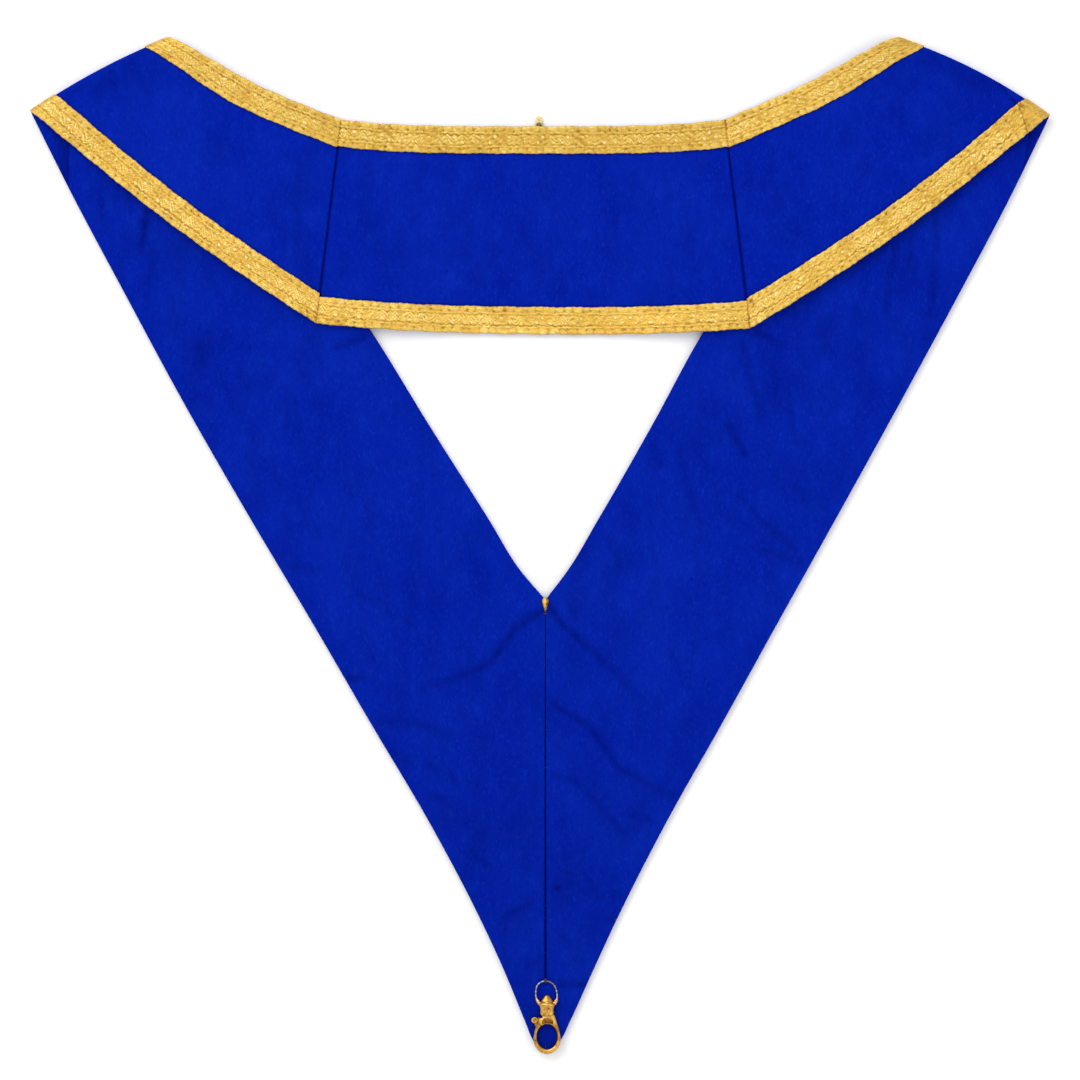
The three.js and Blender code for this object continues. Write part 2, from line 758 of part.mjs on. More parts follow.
// The cord loop stands out of the neck edge between the panel's two faces
function neckLoop() {
  const half = (loopWidth - loopWire) / 2;
  const foot = neckMidY - edgeStep + plyGap;
  const high = neckMidY + loopHeight - loopWire / 2 - half;
  const level = (clothOut - liningIn) / 2;
  const arch = evenly(archSteps, 0, Math.PI).map(
    (turn) =>
      new THREE.Vector3(loopOffset - half * Math.cos(turn), high + half * Math.sin(turn), level),
  );
  const legs = [-1, 1].map((sign) => new THREE.Vector3(loopOffset + sign * half, foot, level));
  return wire([legs[0], ...arch, legs[1]], loopWire, loopSteps);
}

addMesh("neck_loop", neckLoop(), goldLace);

// The front braid's mitred end, a drop that lies on the lining at the apex of the V
function apexTab() {
  const half = tabWidth / 2;
  const bulgeX = tabBulge.across * half;
  const bulgeY = -tabBulge.down * tabLength;
  const shape = new THREE.Shape();
  shape.moveTo(0, -tabLength);
  shape.quadraticCurveTo(bulgeX, bulgeY, half, -half);
  shape.absarc(0, -half, half, 0, Math.PI, false);
  shape.quadraticCurveTo(-bulgeX, bulgeY, 0, -tabLength);
  const drop = new THREE.ExtrudeGeometry(shape, {
    depth: tabWall,
    curveSegments: wireSides,
    bevelEnabled: false,
  });
  return drop.translate(pointOffset, apexY + tabAbove, liningTop + plyGap);
}

addMesh("apex_braid_tab", apexTab(), goldLace);

export default collar;
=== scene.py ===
import math
from types import SimpleNamespace

import bpy
import numpy as np
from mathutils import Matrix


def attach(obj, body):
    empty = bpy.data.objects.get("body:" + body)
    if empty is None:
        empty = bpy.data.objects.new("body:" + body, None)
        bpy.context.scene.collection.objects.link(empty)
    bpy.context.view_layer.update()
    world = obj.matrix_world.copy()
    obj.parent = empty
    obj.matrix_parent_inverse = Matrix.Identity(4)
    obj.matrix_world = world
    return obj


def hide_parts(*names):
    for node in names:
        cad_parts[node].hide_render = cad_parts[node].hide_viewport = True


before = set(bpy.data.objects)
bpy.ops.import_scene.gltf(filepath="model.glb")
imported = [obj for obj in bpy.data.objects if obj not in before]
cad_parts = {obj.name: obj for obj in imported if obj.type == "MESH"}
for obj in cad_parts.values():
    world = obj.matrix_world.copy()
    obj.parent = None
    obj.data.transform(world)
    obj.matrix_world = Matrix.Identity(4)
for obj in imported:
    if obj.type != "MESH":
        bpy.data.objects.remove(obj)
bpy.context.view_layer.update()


# The view, the table and the light.
# The collar lies on a plain white table and is seen from straight above, from far enough away
# that its raised folds keep their place. A large soft light stands above the neck edge.
MM = 0.001
PICTURE_WIDTH = 529.2 * MM
PICTURE_MIDDLE_Y = 2.2 * MM
CAMERA_HEIGHT = 4.0
CAMERA_FOCUS_Z = 4.0 * MM
CAMERA_SEES_TO = 50.0
SENSOR_MM = 36.0
TABLE_SIZE = 4.0
TABLE_WHITE = (0.93, 0.93, 0.93, 1.0)
TABLE_ROUGH = 0.9
TABLE_SHINE = 0.1
TABLE_BELOW = 0.15 * MM
SKY_WHITE = (1.0, 1.0, 1.0, 1.0)
SKY_STRENGTH = 0.95
SOFT_LIGHTS = [
    {"name": "key_light", "x": -0.9, "y": 1.1, "z": 1.6, "size": 1.5, "power": 19.0},
    {"name": "fill_light", "x": 1.2, "y": -0.5, "z": 1.6, "size": 1.8, "power": 5.0},
]


def add_camera():
    """A long lens straight above the middle of the picture, wide enough for the picture's width."""
    lens = bpy.data.cameras.new("photo_camera")
    lens.sensor_width = SENSOR_MM
    lens.lens = SENSOR_MM * CAMERA_HEIGHT / PICTURE_WIDTH
    lens.clip_end = CAMERA_SEES_TO
    camera = bpy.data.objects.new("photo_camera", lens)
    camera.location = (0.0, PICTURE_MIDDLE_Y, CAMERA_HEIGHT + CAMERA_FOCUS_Z)
    bpy.context.scene.collection.objects.link(camera)
    bpy.context.scene.camera = camera


def add_light(name, x, y, z, size, power):
    """A square soft light at a place, turned to the middle of the collar."""
    lamp = bpy.data.lights.new(name, "AREA")
    lamp.shape = "SQUARE"
    lamp.size = size
    lamp.energy = power
    light = bpy.data.objects.new(name, lamp)
    light.location = (x, y, z)
    flat = math.hypot(x, y)
    light.rotation_euler = (math.atan2(flat, z), 0.0, math.atan2(x, -y))
    bpy.context.scene.collection.objects.link(light)


def add_table():
    """A white square sheet of table just under the collar."""
    half = TABLE_SIZE / 2
    mesh = bpy.data.meshes.new("table")
    corners = [(-half, -half), (half, -half), (half, half), (-half, half)]
    mesh.from_pydata([(x, y, -TABLE_BELOW) for x, y in corners], [], [(0, 1, 2, 3)])
    white = bpy.data.materials.new("table_white")
    white.use_nodes = True
    shader = white.node_tree.nodes["Principled BSDF"]
    shader.inputs["Base Color"].default_value = TABLE_WHITE
    shader.inputs["Roughness"].default_value = TABLE_ROUGH
    shader.inputs["Specular IOR Level"].default_value = TABLE_SHINE
    mesh.materials.append(white)
    table = bpy.data.objects.new("table", mesh)
    bpy.context.scene.collection.objects.link(table)


add_camera()
add_table()
for row in SOFT_LIGHTS:
    add_light(**row)
sky = bpy.data.worlds.new("studio")
sky.use_nodes = True
sky.node_tree.nodes["Background"].inputs["Color"].default_value = SKY_WHITE
sky.node_tree.nodes["Background"].inputs["Strength"].default_value = SKY_STRENGTH
bpy.context.scene.world = sky
bpy.context.scene.view_settings.view_transform = "Standard"


# Neck panel.
# One layer of royal blue ribbed cloth, bagged out with its interlining and lining. It is sewn to
# the two shoulders, sinks between the lappets, and the seams draw its ends in a little.
COLLAR_WIDTH = 501.0 * MM
PEAK_SPAN = 357.7 * MM
BACK_X = -3.4 * MM
POINT_X = 2.65 * MM
PEAK_Y = 249.625 * MM
NECK_DIP = 44.6 * MM
FOLD_DROP = 37.5 * MM
NECK_SPAN = 188.2 * MM
LOWER_SPAN = 212.5 * MM
BAND_WIDTH = 102.0 * MM
WINDOW_DEPTH = 130.1 * MM
NECK_EDGE_BOW = 3.4 * MM
LOWER_EDGE_BOW = 4.0 * MM
NECK_EDGE_FLATNESS = 4.0
LOWER_EDGE_FLATNESS = 2.5
PLY_WALL = 1.0 * MM
PLY_GAP = 0.3 * MM
LAYER_GAP = 0.4 * MM
BRAID_WIDTH = 13.5 * MM
BRAID_WALL = 1.0 * MM
EDGE_STEP = 0.6 * MM
FOLD_RADIUS = 0.8 * MM
DRAPE_START = 4.0 * MM
DRAPE_LENGTH = 45.0 * MM
LINING_IN = LAYER_GAP / 2
LINING_OUT = LINING_IN + PLY_WALL
CLOTH_IN = LINING_OUT + PLY_GAP
CLOTH_OUT = CLOTH_IN + PLY_WALL
BRAID_IN = CLOTH_OUT + PLY_GAP
BRAID_OUT = BRAID_IN + BRAID_WALL
FOLD_HEIGHT = BRAID_OUT
BEND_REACH = FOLD_RADIUS + BRAID_OUT
DRAPE_DROP = FOLD_HEIGHT + LINING_IN
NECK_MID_Y = PEAK_Y - NECK_DIP
LOWER_MID_Y = NECK_MID_Y - BAND_WIDTH
APEX_Y = LOWER_MID_Y - WINDOW_DEPTH
SIDE_SHARES = {
    "left": {"fold_drop": 0.97, "fold_bow": 0.8, "neck_bow": 1.45, "lower_bow": 0.87, "lift": 0.3},
    "right": {"fold_drop": 1.03, "fold_bow": 1.25, "neck_bow": 0.45, "lower_bow": 1.13, "lift": -0.3},
}
CLOTH_STEP = 1.1 * MM
CLOTH_COLUMNS = 96
BACK_COLUMNS = 14
LENGTH_PLACES = 4001
LEAST_ROW = 0.07 * MM
AREA_ROWS = 161
AREA_COLUMNS = 25
HIDDEN_SEAM = 0.01 * MM
EDGE_ROLL = {
    "inset_mm": [0.0, 0.05, 0.18, 0.4, 0.75],
    "up": [0.3, 0.6, 0.82, 0.95, 1.0],
}
NEAR_SEAM_MM = [0.0, 0.12, 0.3, 0.5, 0.8, 1.2, 1.7, 2.4]
SEAM_SINK = 0.7 * MM
SEAM_REACH = 1.6 * MM
# Painted shade along each seam: the half width of its dark line and how dark it is painted.
SEAM_LINE = 0.8 * MM
SEAM_PAINTED_SHADE = 0.85
LACE_SHADOW = {"dark": 0.45, "from": 0.2 * MM, "reach": 0.5 * MM}
# The cloth's blue, the lighter blue of its flecks and clouds, and the deep blue that dark mottling
# and painted shade mix towards.
CLOTH_BLUE = (0.0009, 0.0088, 0.272, 1.0)
CLOTH_LIGHT = (0.0034, 0.0270, 0.410, 1.0)
CLOTH_DEEP = (0.0004, 0.0024, 0.100, 1.0)
CLOTH_NOISES = [
    {"towards": "light", "scale": 24.0, "drawn": 0.75, "detail": 4.0, "rough": 0.6,
     "low": 0.38, "high": 0.66, "least": 0.06, "most": 0.3},
    {"towards": "light", "scale": 1050.0, "drawn": 0.45, "detail": 3.0, "rough": 0.7,
     "low": 0.54, "high": 0.78, "least": 0.0, "most": 0.85},
    {"towards": "light", "scale": 230.0, "drawn": 0.45, "detail": 3.0, "rough": 0.6,
     "low": 0.5, "high": 0.74, "least": 0.0, "most": 0.25},
    {"towards": "deep", "scale": 75.0, "drawn": 0.6, "detail": 3.0, "rough": 0.6,
     "low": 0.46, "high": 0.7, "least": 0.0, "most": 0.2},
    {"towards": "deep", "scale": 800.0, "drawn": 0.5, "detail": 3.0, "rough": 0.7,
     "low": 0.54, "high": 0.78, "least": 0.0, "most": 0.42},
]
CLOTH_ROUGH = 0.8
CLOTH_SHEEN = 0.01
SHEEN_BLUE = (0.1, 0.2, 1.0, 1.0)
RIB_PITCH = 0.45 * MM
RIBS = {"uneven": 1.4, "detail": 2.0, "high": 0.06 * MM, "strength": 0.4}
SLUBS = {"scale": 230.0, "drawn": 0.5, "detail": 4.0, "high": 0.3 * MM, "strength": 0.5}
WAVE_TEXTURE_PITCH = math.pi / 10.0
LAID_WAVES = [
    {"x": 0.11, "y": 0.07, "start": 1.0, "share": 1.0},
    {"x": -0.06, "y": 0.16, "start": 2.3, "share": 0.7},
    {"x": 0.23, "y": -0.09, "start": 0.4, "share": 0.5},
    {"x": 0.09, "y": 0.31, "start": 0.0, "share": 0.35},
]
LAID_WAVES_TOP = 2.5
NECK_WAVES = 0.3 * MM
WAVES_EASE = 6.0 * MM


def mix(a, b, share):
    """The value a share of the way from a to b."""
    return a + (b - a) * share


def ease(value):
    """0 below 0, 1 above 1, and the smooth rise 3 t^2 - 2 t^3 between."""
    t = np.clip(value, 0.0, 1.0)
    return t * t * (3.0 - 2.0 * t)


def bump(distance, reach):
    """1 at no distance and fading as exp(-(distance / reach)^2)."""
    return np.exp(-((distance / reach) ** 2))


def unit(p):
    """Plan vectors at length 1."""
    return p / np.linalg.norm(p, axis=-1, keepdims=True)


def cross(p, q):
    """The cross product of plan vectors."""
    return p[..., 0] * q[..., 1] - p[..., 1] * q[..., 0]


def bowed(start, end, share, bow, flatness=2.0):
    """The chord from start to end pushed sideways by bow times 1 - |2 share - 1| ^ flatness."""
    along = unit(end - start)
    arch = 1.0 - np.abs(2.0 * share - 1.0) ** flatness
    sideways = np.array([-along[1], along[0]])
    return start + (end - start) * share[..., None] + sideways * (bow * arch)[..., None]


def collar_side(name, sign):
    """The fold line, the seams' ends and the apex of one side, from the sizes above."""
    shares = SIDE_SHARES[name]
    peak = np.array([BACK_X + sign * PEAK_SPAN / 2, PEAK_Y])
    tip = np.array([sign * COLLAR_WIDTH / 2, PEAK_Y - FOLD_DROP * shares["fold_drop"]])
    along = unit(tip - peak)
    outward = sign * np.array([-along[1], along[0]])
    lower_y = LOWER_MID_Y + LOWER_EDGE_BOW * (1.0 + shares["lift"])
    return SimpleNamespace(
        name=name,
        sign=sign,
        shares=shares,
        along=along,
        outward=outward,
        fold_peak=peak - outward * BEND_REACH,
        fold_tip=tip - outward * BEND_REACH,
        neck_seam=np.array([BACK_X + sign * NECK_SPAN / 2, NECK_MID_Y + NECK_EDGE_BOW]),
        lower_seam=np.array([BACK_X + sign * LOWER_SPAN / 2, lower_y]),
        apex=np.array([POINT_X, APEX_Y]),
    )


LEFT = collar_side("left", -1)
RIGHT = collar_side("right", 1)
SIDES = [LEFT, RIGHT]


def drape(p):
    """How far the upper layer sinks towards the table: the product over the two sides of an ease
    of the distance inside the V from that lappet's inner edge."""
    sunk = DRAPE_DROP
    for side in SIDES:
        inside = side.sign * cross(p - side.fold_peak, unit(side.apex - side.fold_peak))
        sunk = sunk * ease((inside - DRAPE_START) / DRAPE_LENGTH)
    return sunk


def neck_point(place, across, ply):
    """A point of the neck panel, between the bowed chords of its two edges, less the drape."""
    top = bowed(LEFT.neck_seam, RIGHT.neck_seam, place, -NECK_EDGE_BOW, NECK_EDGE_FLATNESS)
    bottom = bowed(LEFT.lower_seam, RIGHT.lower_seam, place, -LOWER_EDGE_BOW, LOWER_EDGE_FLATNESS)
    plan = top + (bottom - top) * across[..., None]
    z = FOLD_HEIGHT + ply - drape(plan)
    return np.concatenate([plan, z[..., None]], axis=-1)


def even_places(point_at, start, end, step, near_start=(), near_end=()):
    """Places from start to end at even steps of real length, with closer rows at set distances
    (mm) from the ends, and each row's real distance from the start."""
    fine = np.linspace(start, end, LENGTH_PLACES)
    runs = np.linalg.norm(np.diff(point_at(fine), axis=0), axis=1)
    length = np.concatenate([[0.0], np.cumsum(runs)])
    count = max(2, int(round(length[-1] / step)))
    even = np.linspace(0.0, length[-1], count + 1)
    wanted = np.sort(np.concatenate(
        [even, np.array(near_start) * MM, length[-1] - np.array(near_end) * MM]
    ))
    apart = np.concatenate([[True], np.diff(wanted) > LEAST_ROW])
    apart[-1] = True
    kept = wanted[apart]
    return np.interp(kept, length, fine), kept


def ring_plan(face_columns, back_columns):
    """The points of one ring round a ply: shares across, insets from the edges and shares of the
    thickness. It goes over the face from edge to edge with rolled edges, and back underneath."""
    inset, up = (np.array(EDGE_ROLL[key]) for key in ("inset_mm", "up"))
    roll = len(inset)
    across = np.concatenate([
        np.zeros(roll), np.linspace(0, 1, face_columns)[1:-1], np.ones(roll),
        np.linspace(1, 0, back_columns),
    ])
    insets = np.concatenate([
        inset, np.full(face_columns - 2, inset[-1]), inset[::-1], np.full(back_columns, inset[2]),
    ])
    ups = np.concatenate([up, np.ones(face_columns - 2), up[::-1], np.zeros(back_columns)])
    return across, insets * MM, ups


def ring_faces(rows, ring):
    """Quads between neighbouring rings of points, and one many-sided face on each end ring."""
    i, j = np.meshgrid(np.arange(rows - 1), np.arange(ring), indexing="ij")
    a, b = i * ring + j, i * ring + (j + 1) % ring
    quads = np.stack([a, b, b + ring, a + ring], axis=-1).reshape(-1, 4)
    first = np.arange(ring)[::-1][None, :]
    last = (rows - 1) * ring + np.arange(ring)[None, :]
    return [quads, first, last]


def turned_outwards(points, face_sets):
    """The faces of a closed surface, reversed where the volume of their fans of triangles from
    the surface's middle is negative."""
    fans = [f[:, [0, k, k + 1]] for f in face_sets for k in range(1, f.shape[1] - 1)]
    from_middle = points - points.mean(axis=0)
    a, b, c = (from_middle[np.concatenate([fan[:, k] for fan in fans])] for k in range(3))
    inside_out = np.einsum("ij,ij->", a, np.cross(b, c)) < 0
    return [f[:, ::-1] for f in face_sets] if inside_out else face_sets


def shell(name, points, face_sets, material, maps, sharp_degrees=70.0):
    """A mesh object from an array of points and arrays of faces, turned outwards, with point
    attributes and one UV map given per point."""
    face_sets = turned_outwards(points, face_sets)
    corners = np.concatenate([f.ravel() for f in face_sets])
    sizes = np.concatenate([np.full(len(f), f.shape[1]) for f in face_sets])
    mesh = bpy.data.meshes.new(name)
    mesh.vertices.add(len(points))
    mesh.vertices.foreach_set("co", points.astype(np.float32).ravel())
    mesh.loops.add(len(corners))
    mesh.loops.foreach_set("vertex_index", corners.astype(np.int32))
    mesh.polygons.add(len(sizes))
    mesh.polygons.foreach_set("loop_start", (np.cumsum(sizes) - sizes).astype(np.int32))
    mesh.polygons.foreach_set("use_smooth", np.ones(len(sizes), bool))
    mesh.update(calc_edges=True)
    for key, values in maps.items():
        if key == "uv":
            layer = mesh.uv_layers.new(name="along_piece")
            layer.data.foreach_set("uv", values[corners].astype(np.float32).ravel())
        else:
            attribute = mesh.attributes.new(key, "FLOAT", "POINT")
            attribute.data.foreach_set("value", values.astype(np.float32))
    mesh.set_sharp_from_angle(angle=math.radians(sharp_degrees))
    mesh.materials.append(material)
    piece = bpy.data.objects.new(name, mesh)
    bpy.context.scene.collection.objects.link(piece)
    return piece


def cut_area(point_at, start, end):
    """The area of the middle of a ply, as the sum of its small squares' cross products."""
    places = np.linspace(start, end, AREA_ROWS)
    place, across = np.meshgrid(places, np.linspace(0.0, 1.0, AREA_COLUMNS))
    point = point_at(place, across)
    one_way = point[1:, :-1] - point[:-1, :-1]
    other_way = point[:-1, 1:] - point[:-1, :-1]
    return float(np.linalg.norm(np.cross(one_way, other_way), axis=-1).sum())


def new_material(name):
    """An empty material with its node tree, its shader and a link to the object's own places."""
    material = bpy.data.materials.new(name)
    material.use_nodes = True
    tree = material.node_tree
    place = tree.nodes.new("ShaderNodeTexCoord").outputs["Object"]
    return material, tree, tree.nodes["Principled BSDF"], place


def link_noise(tree, place, scale, detail, drawn=1.0, rough=0.6):
    """A noise texture at the given coordinates, drawn out along Y."""
    mapping = tree.nodes.new("ShaderNodeMapping")
    mapping.inputs["Scale"].default_value = (1.0, drawn, 1.0)
    noise = tree.nodes.new("ShaderNodeTexNoise")
    noise.inputs["Scale"].default_value = scale
    noise.inputs["Detail"].default_value = detail
    noise.inputs["Roughness"].default_value = rough
    tree.links.new(place, mapping.inputs["Vector"])
    tree.links.new(mapping.outputs["Vector"], noise.inputs["Vector"])
    return noise.outputs["Fac"]


def link_range(tree, value, low, high, to_low, to_high):
    """A value moved from one range to another, held at its ends."""
    node = tree.nodes.new("ShaderNodeMapRange")
    node.inputs["From Min"].default_value = low
    node.inputs["From Max"].default_value = high
    node.inputs["To Min"].default_value = to_low
    node.inputs["To Max"].default_value = to_high
    tree.links.new(value, node.inputs["Value"])
    return node.outputs["Result"]


def link_mix(tree, factor, a, b):
    """Two colours mixed by a linked factor, each a colour or a link."""
    node = tree.nodes.new("ShaderNodeMix")
    node.data_type = "RGBA"
    colours = [s for s in node.inputs if s.type == "RGBA"]
    tree.links.new(factor, node.inputs["Factor"])
    for value, socket in zip((a, b), colours):
        if isinstance(value, tuple):
            socket.default_value = value
        else:
            tree.links.new(value, socket)
    return [s for s in node.outputs if s.type == "RGBA"][0]


def link_bump(tree, height, distance, strength, normal=None):
    """A bump of a real height in metres, on top of another bump."""
    node = tree.nodes.new("ShaderNodeBump")
    node.inputs["Distance"].default_value = distance
    node.inputs["Strength"].default_value = strength
    tree.links.new(height, node.inputs["Height"])
    if normal is not None:
        tree.links.new(normal, node.inputs["Normal"])
    return node.outputs["Normal"]


def link_attribute(tree, name):
    """The value of one of the mesh's own point attributes."""
    node = tree.nodes.new("ShaderNodeAttribute")
    node.attribute_name = name
    return node.outputs["Fac"]


def cloth_material(name, base, light, deep):
    """Blue cloth: a base colour with soft clouds, mottling and flecks drawn out along the warp,
    deeper by the point attribute that holds painted shade (at seams, in creases, beside the lace
    and lower down on a lining), over bumps of fine ribs and slubs."""
    material, tree, shader, place = new_material(name)
    colour = base
    for row in CLOTH_NOISES:
        noise = link_noise(tree, place, row["scale"], row["detail"], row["drawn"], row["rough"])
        share = link_range(tree, noise, row["low"], row["high"], row["least"], row["most"])
        colour = link_mix(tree, share, colour, light if row["towards"] == "light" else deep)
    # Painted shade: the point attribute read here mixes the colour towards the deep blue.
    colour = link_mix(tree, link_attribute(tree, "crease"), colour, deep)
    tree.links.new(colour, shader.inputs["Base Color"])
    ribs = tree.nodes.new("ShaderNodeTexWave")
    ribs.wave_type = "BANDS"
    ribs.bands_direction = "Y"
    ribs.inputs["Scale"].default_value = WAVE_TEXTURE_PITCH / RIB_PITCH
    ribs.inputs["Distortion"].default_value = RIBS["uneven"]
    ribs.inputs["Detail"].default_value = RIBS["detail"]
    tree.links.new(place, ribs.inputs["Vector"])
    normal = link_bump(tree, ribs.outputs["Fac"], RIBS["high"], RIBS["strength"])
    slubs = link_noise(tree, place, SLUBS["scale"], SLUBS["detail"], SLUBS["drawn"])
    normal = link_bump(tree, slubs, SLUBS["high"], SLUBS["strength"], normal)
    tree.links.new(normal, shader.inputs["Normal"])
    shader.inputs["Roughness"].default_value = CLOTH_ROUGH
    shader.inputs["Specular IOR Level"].default_value = 0.0
    shader.inputs["Sheen Weight"].default_value = CLOTH_SHEEN
    shader.inputs["Sheen Tint"].default_value = SHEEN_BLUE
    return material


royal_cloth = cloth_material("royal_cloth", CLOTH_BLUE, CLOTH_LIGHT, CLOTH_DEEP)


def undulation(p, height):
    """Soft unevenness of laid cloth: slanting waves of four lengths, summed."""
    x, y = p[..., 0] / MM, p[..., 1] / MM
    waves = sum(row["share"] * np.sin(row["x"] * x + row["y"] * y + row["start"])
                for row in LAID_WAVES)
    return height * waves / LAID_WAVES_TOP


def seam_sink(distance):
    """The dip towards a seam: full at the stitching and gone a short way from it."""
    return SEAM_SINK * (1.0 - ease(distance / SEAM_REACH)) ** 2


def lace_shadow(distance):
    """The dark blue line beside the lace: a bump by the distance from the lace's edge."""
    return LACE_SHADOW["dark"] * bump(distance - LACE_SHADOW["from"], LACE_SHADOW["reach"])


def neck_cloth():
    """The panel between its two seams, its edges a step inside the braid's."""
    across, inset, up = ring_plan(CLOTH_COLUMNS, BACK_COLUMNS)
    middle = lambda place: neck_point(place, np.float64(0.5), np.float64(CLOTH_OUT))
    seam = HIDDEN_SEAM / NECK_SPAN
    rows, along = even_places(middle, seam, 1 - seam, CLOTH_STEP, NEAR_SEAM_MM, NEAR_SEAM_MM)
    to_seam = np.minimum(along, along[-1] - along)[:, None]
    low = (EDGE_STEP + inset) / BAND_WIDTH
    share = mix(low, 1.0 - low, across)[None, :]
    point = neck_point(rows[:, None], share, mix(LINING_IN, CLOTH_OUT, up)[None, :])
    inside = np.minimum(share, 1.0 - share) * BAND_WIDTH - BRAID_WIDTH
    point[..., 2] += up * undulation(point, NECK_WAVES) * ease(inside / WAVES_EASE)
    point[..., 2] -= up * seam_sink(to_seam)
    # Painted shade: a dark line along each seam, and the dark blue line of shadow beside each lace.
    crease = SEAM_PAINTED_SHADE * bump(to_seam, SEAM_LINE) + lace_shadow(inside)
    crease = np.broadcast_to(crease, point.shape[:2])
    piece = shell("neck_cloth", point.reshape(-1, 3), ring_faces(*point.shape[:2]), royal_cloth,
                  {"crease": crease.ravel()})
    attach(piece, "collar")
    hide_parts("neck_panel")
    at_middle = lambda place, across: neck_point(place, across, np.float64(CLOTH_IN))
    cut_area(at_middle, 0.0, 1.0)


neck_cloth()


# Shoulder and lappet cloth and its lining.
# Each side is one strip in two lengths, seamed just under the fold: face cloth outside and a
# plain lining inside. The shoulder lies face up, and the lappet lies turned over, lining up.
POINT_Y = APEX_Y - 221.0 * MM
SHOULDER_NECK_BOW = 1.1 * MM
SHOULDER_LOWER_BOW = 3.1 * MM
FOLD_BOW = 2.8 * MM
LOFT_LENGTH = 32.0 * MM
LEAN_FROM = 0.4
LEAN_SLOPE_RUN = 0.04
PEAK_NARROW = {"left": 0.17, "right": 0.1}
BELLY_EASE = 14.0 * MM
BELLY_GROWTH = 0.12
SEAM_RUN = 1.5 * MM
LAPPET_LENGTH = PEAK_Y - APEX_Y
EDGE_STRETCH = 0.03
TIP_STRETCH = 0.01
EARS = {
    "left": {"run": 0.066, "start": 0.75},
    "right": {"run": 0.044, "start": 0.92},
}
OUTER_EDGE = [
    {"down": 0.0, "left": 1.0, "right": 1.0},
    {"down": 0.085, "left": 0.922, "right": 0.923},
    {"down": 0.187, "left": 0.823, "right": 0.823},
    {"down": 0.303, "left": 0.709, "right": 0.7065},
    {"down": 0.436, "left": 0.5696, "right": 0.5702},
    {"down": 0.543, "left": 0.4535, "right": 0.4596},
    {"down": 0.649, "left": 0.3413, "right": 0.3509},
    {"down": 0.755, "left": 0.2271, "right": 0.2403},
    {"down": 0.862, "left": 0.1246, "right": 0.1395},
    {"down": 0.915, "left": 0.0801, "right": 0.0941},
    {"down": 0.969, "left": 0.0395, "right": 0.0486},
    {"down": 0.989, "left": 0.024, "right": 0.0298},
    {"down": 0.9985, "left": 0.012, "right": 0.0135},
    {"down": 1.0, "left": 0.0, "right": 0.0},
]
INNER_EDGE = [
    {"down": 0.0, "left": 1.0, "right": 1.0},
    {"down": 0.28, "left": 0.716, "right": 0.712},
    {"down": 0.528, "left": 0.4568, "right": 0.4441},
    {"down": 0.681, "left": 0.3164, "right": 0.3108},
    {"down": 0.858, "left": 0.1494, "right": 0.1492},
    {"down": 0.947, "left": 0.0673, "right": 0.0641},
    {"down": 1.0, "left": 0.0, "right": 0.0},
]
STRIP_COLUMNS = 100
LAPPET_COLUMNS = 112
HIDDEN_COLUMNS = 40
LAPPET_STEP = 1.25 * MM
HIDDEN_STEP = 3.0 * MM
LINING_BLUE = (0.0009, 0.0090, 0.268, 1.0)
LINING_LIGHT = (0.0034, 0.0270, 0.405, 1.0)


def cubic_between(x, values, slopes, at):
    """Values at places between known ones, on cubic curves that keep each one's slope."""
    k = np.clip(np.searchsorted(x, at, side="right") - 1, 0, len(x) - 2)
    wide = (...,) + (None,) * (values.ndim - 1)
    run = (x[k + 1] - x[k])[wide]
    t = (at - x[k])[wide] / run
    first = (1 + 2 * t) * (1 - t) ** 2 * values[k] + t * (1 - t) ** 2 * run * slopes[k]
    return first + t * t * (3 - 2 * t) * values[k + 1] + t * t * (t - 1) * run * slopes[k + 1]


def table_column(rows, column, down):
    """A table's column at shares of the way down, on cubic curves with the slopes of its rows,
    none steeper than three times the flatter step beside it."""
    x = np.array([row["down"] for row in rows])
    y = np.array([row[column] for row in rows])
    steps = np.abs(np.diff(y) / np.diff(x))
    steepest = 3.0 * np.minimum(np.append(steps[0], steps), np.append(steps, steps[-1]))
    return cubic_between(x, y, np.clip(np.gradient(y, x), -steepest, steepest), down)


def lappet_edge(side, rows, start, end_y, down):
    """A lappet's edge: its distance from the centre seam is the table's share of the start's."""
    share = table_column(rows, side.name, down)
    x = POINT_X + side.sign * HIDDEN_SEAM + (start[0] - POINT_X) * share
    return np.stack([x, mix(start[1], end_y, down)], axis=-1)


def strip_edges(side, place):
    """The inner and outer edge of a side's strip: places 0 to 1 run from the neck seam to the
    fold on bowed chords, 1 to 2 round the fold, and 2 to 3 down the lappet by its tables."""
    t = np.clip(place, 0.0, 1.0)
    down = np.clip(place - 2.0, 0.0, 1.0)
    neck_bow = -side.sign * SHOULDER_NECK_BOW * side.shares["neck_bow"]
    lower_bow = -side.sign * SHOULDER_LOWER_BOW * side.shares["lower_bow"]
    on_lappet = (place > 2.0)[..., None]
    inner = np.where(
        on_lappet,
        lappet_edge(side, INNER_EDGE, side.fold_peak, APEX_Y, down),
        bowed(side.neck_seam, side.fold_peak, t, neck_bow),
    )
    outer = np.where(
        on_lappet,
        lappet_edge(side, OUTER_EDGE, side.fold_tip, POINT_Y, down),
        bowed(side.lower_seam, side.fold_tip, t, lower_bow),
    )
    return inner, outer


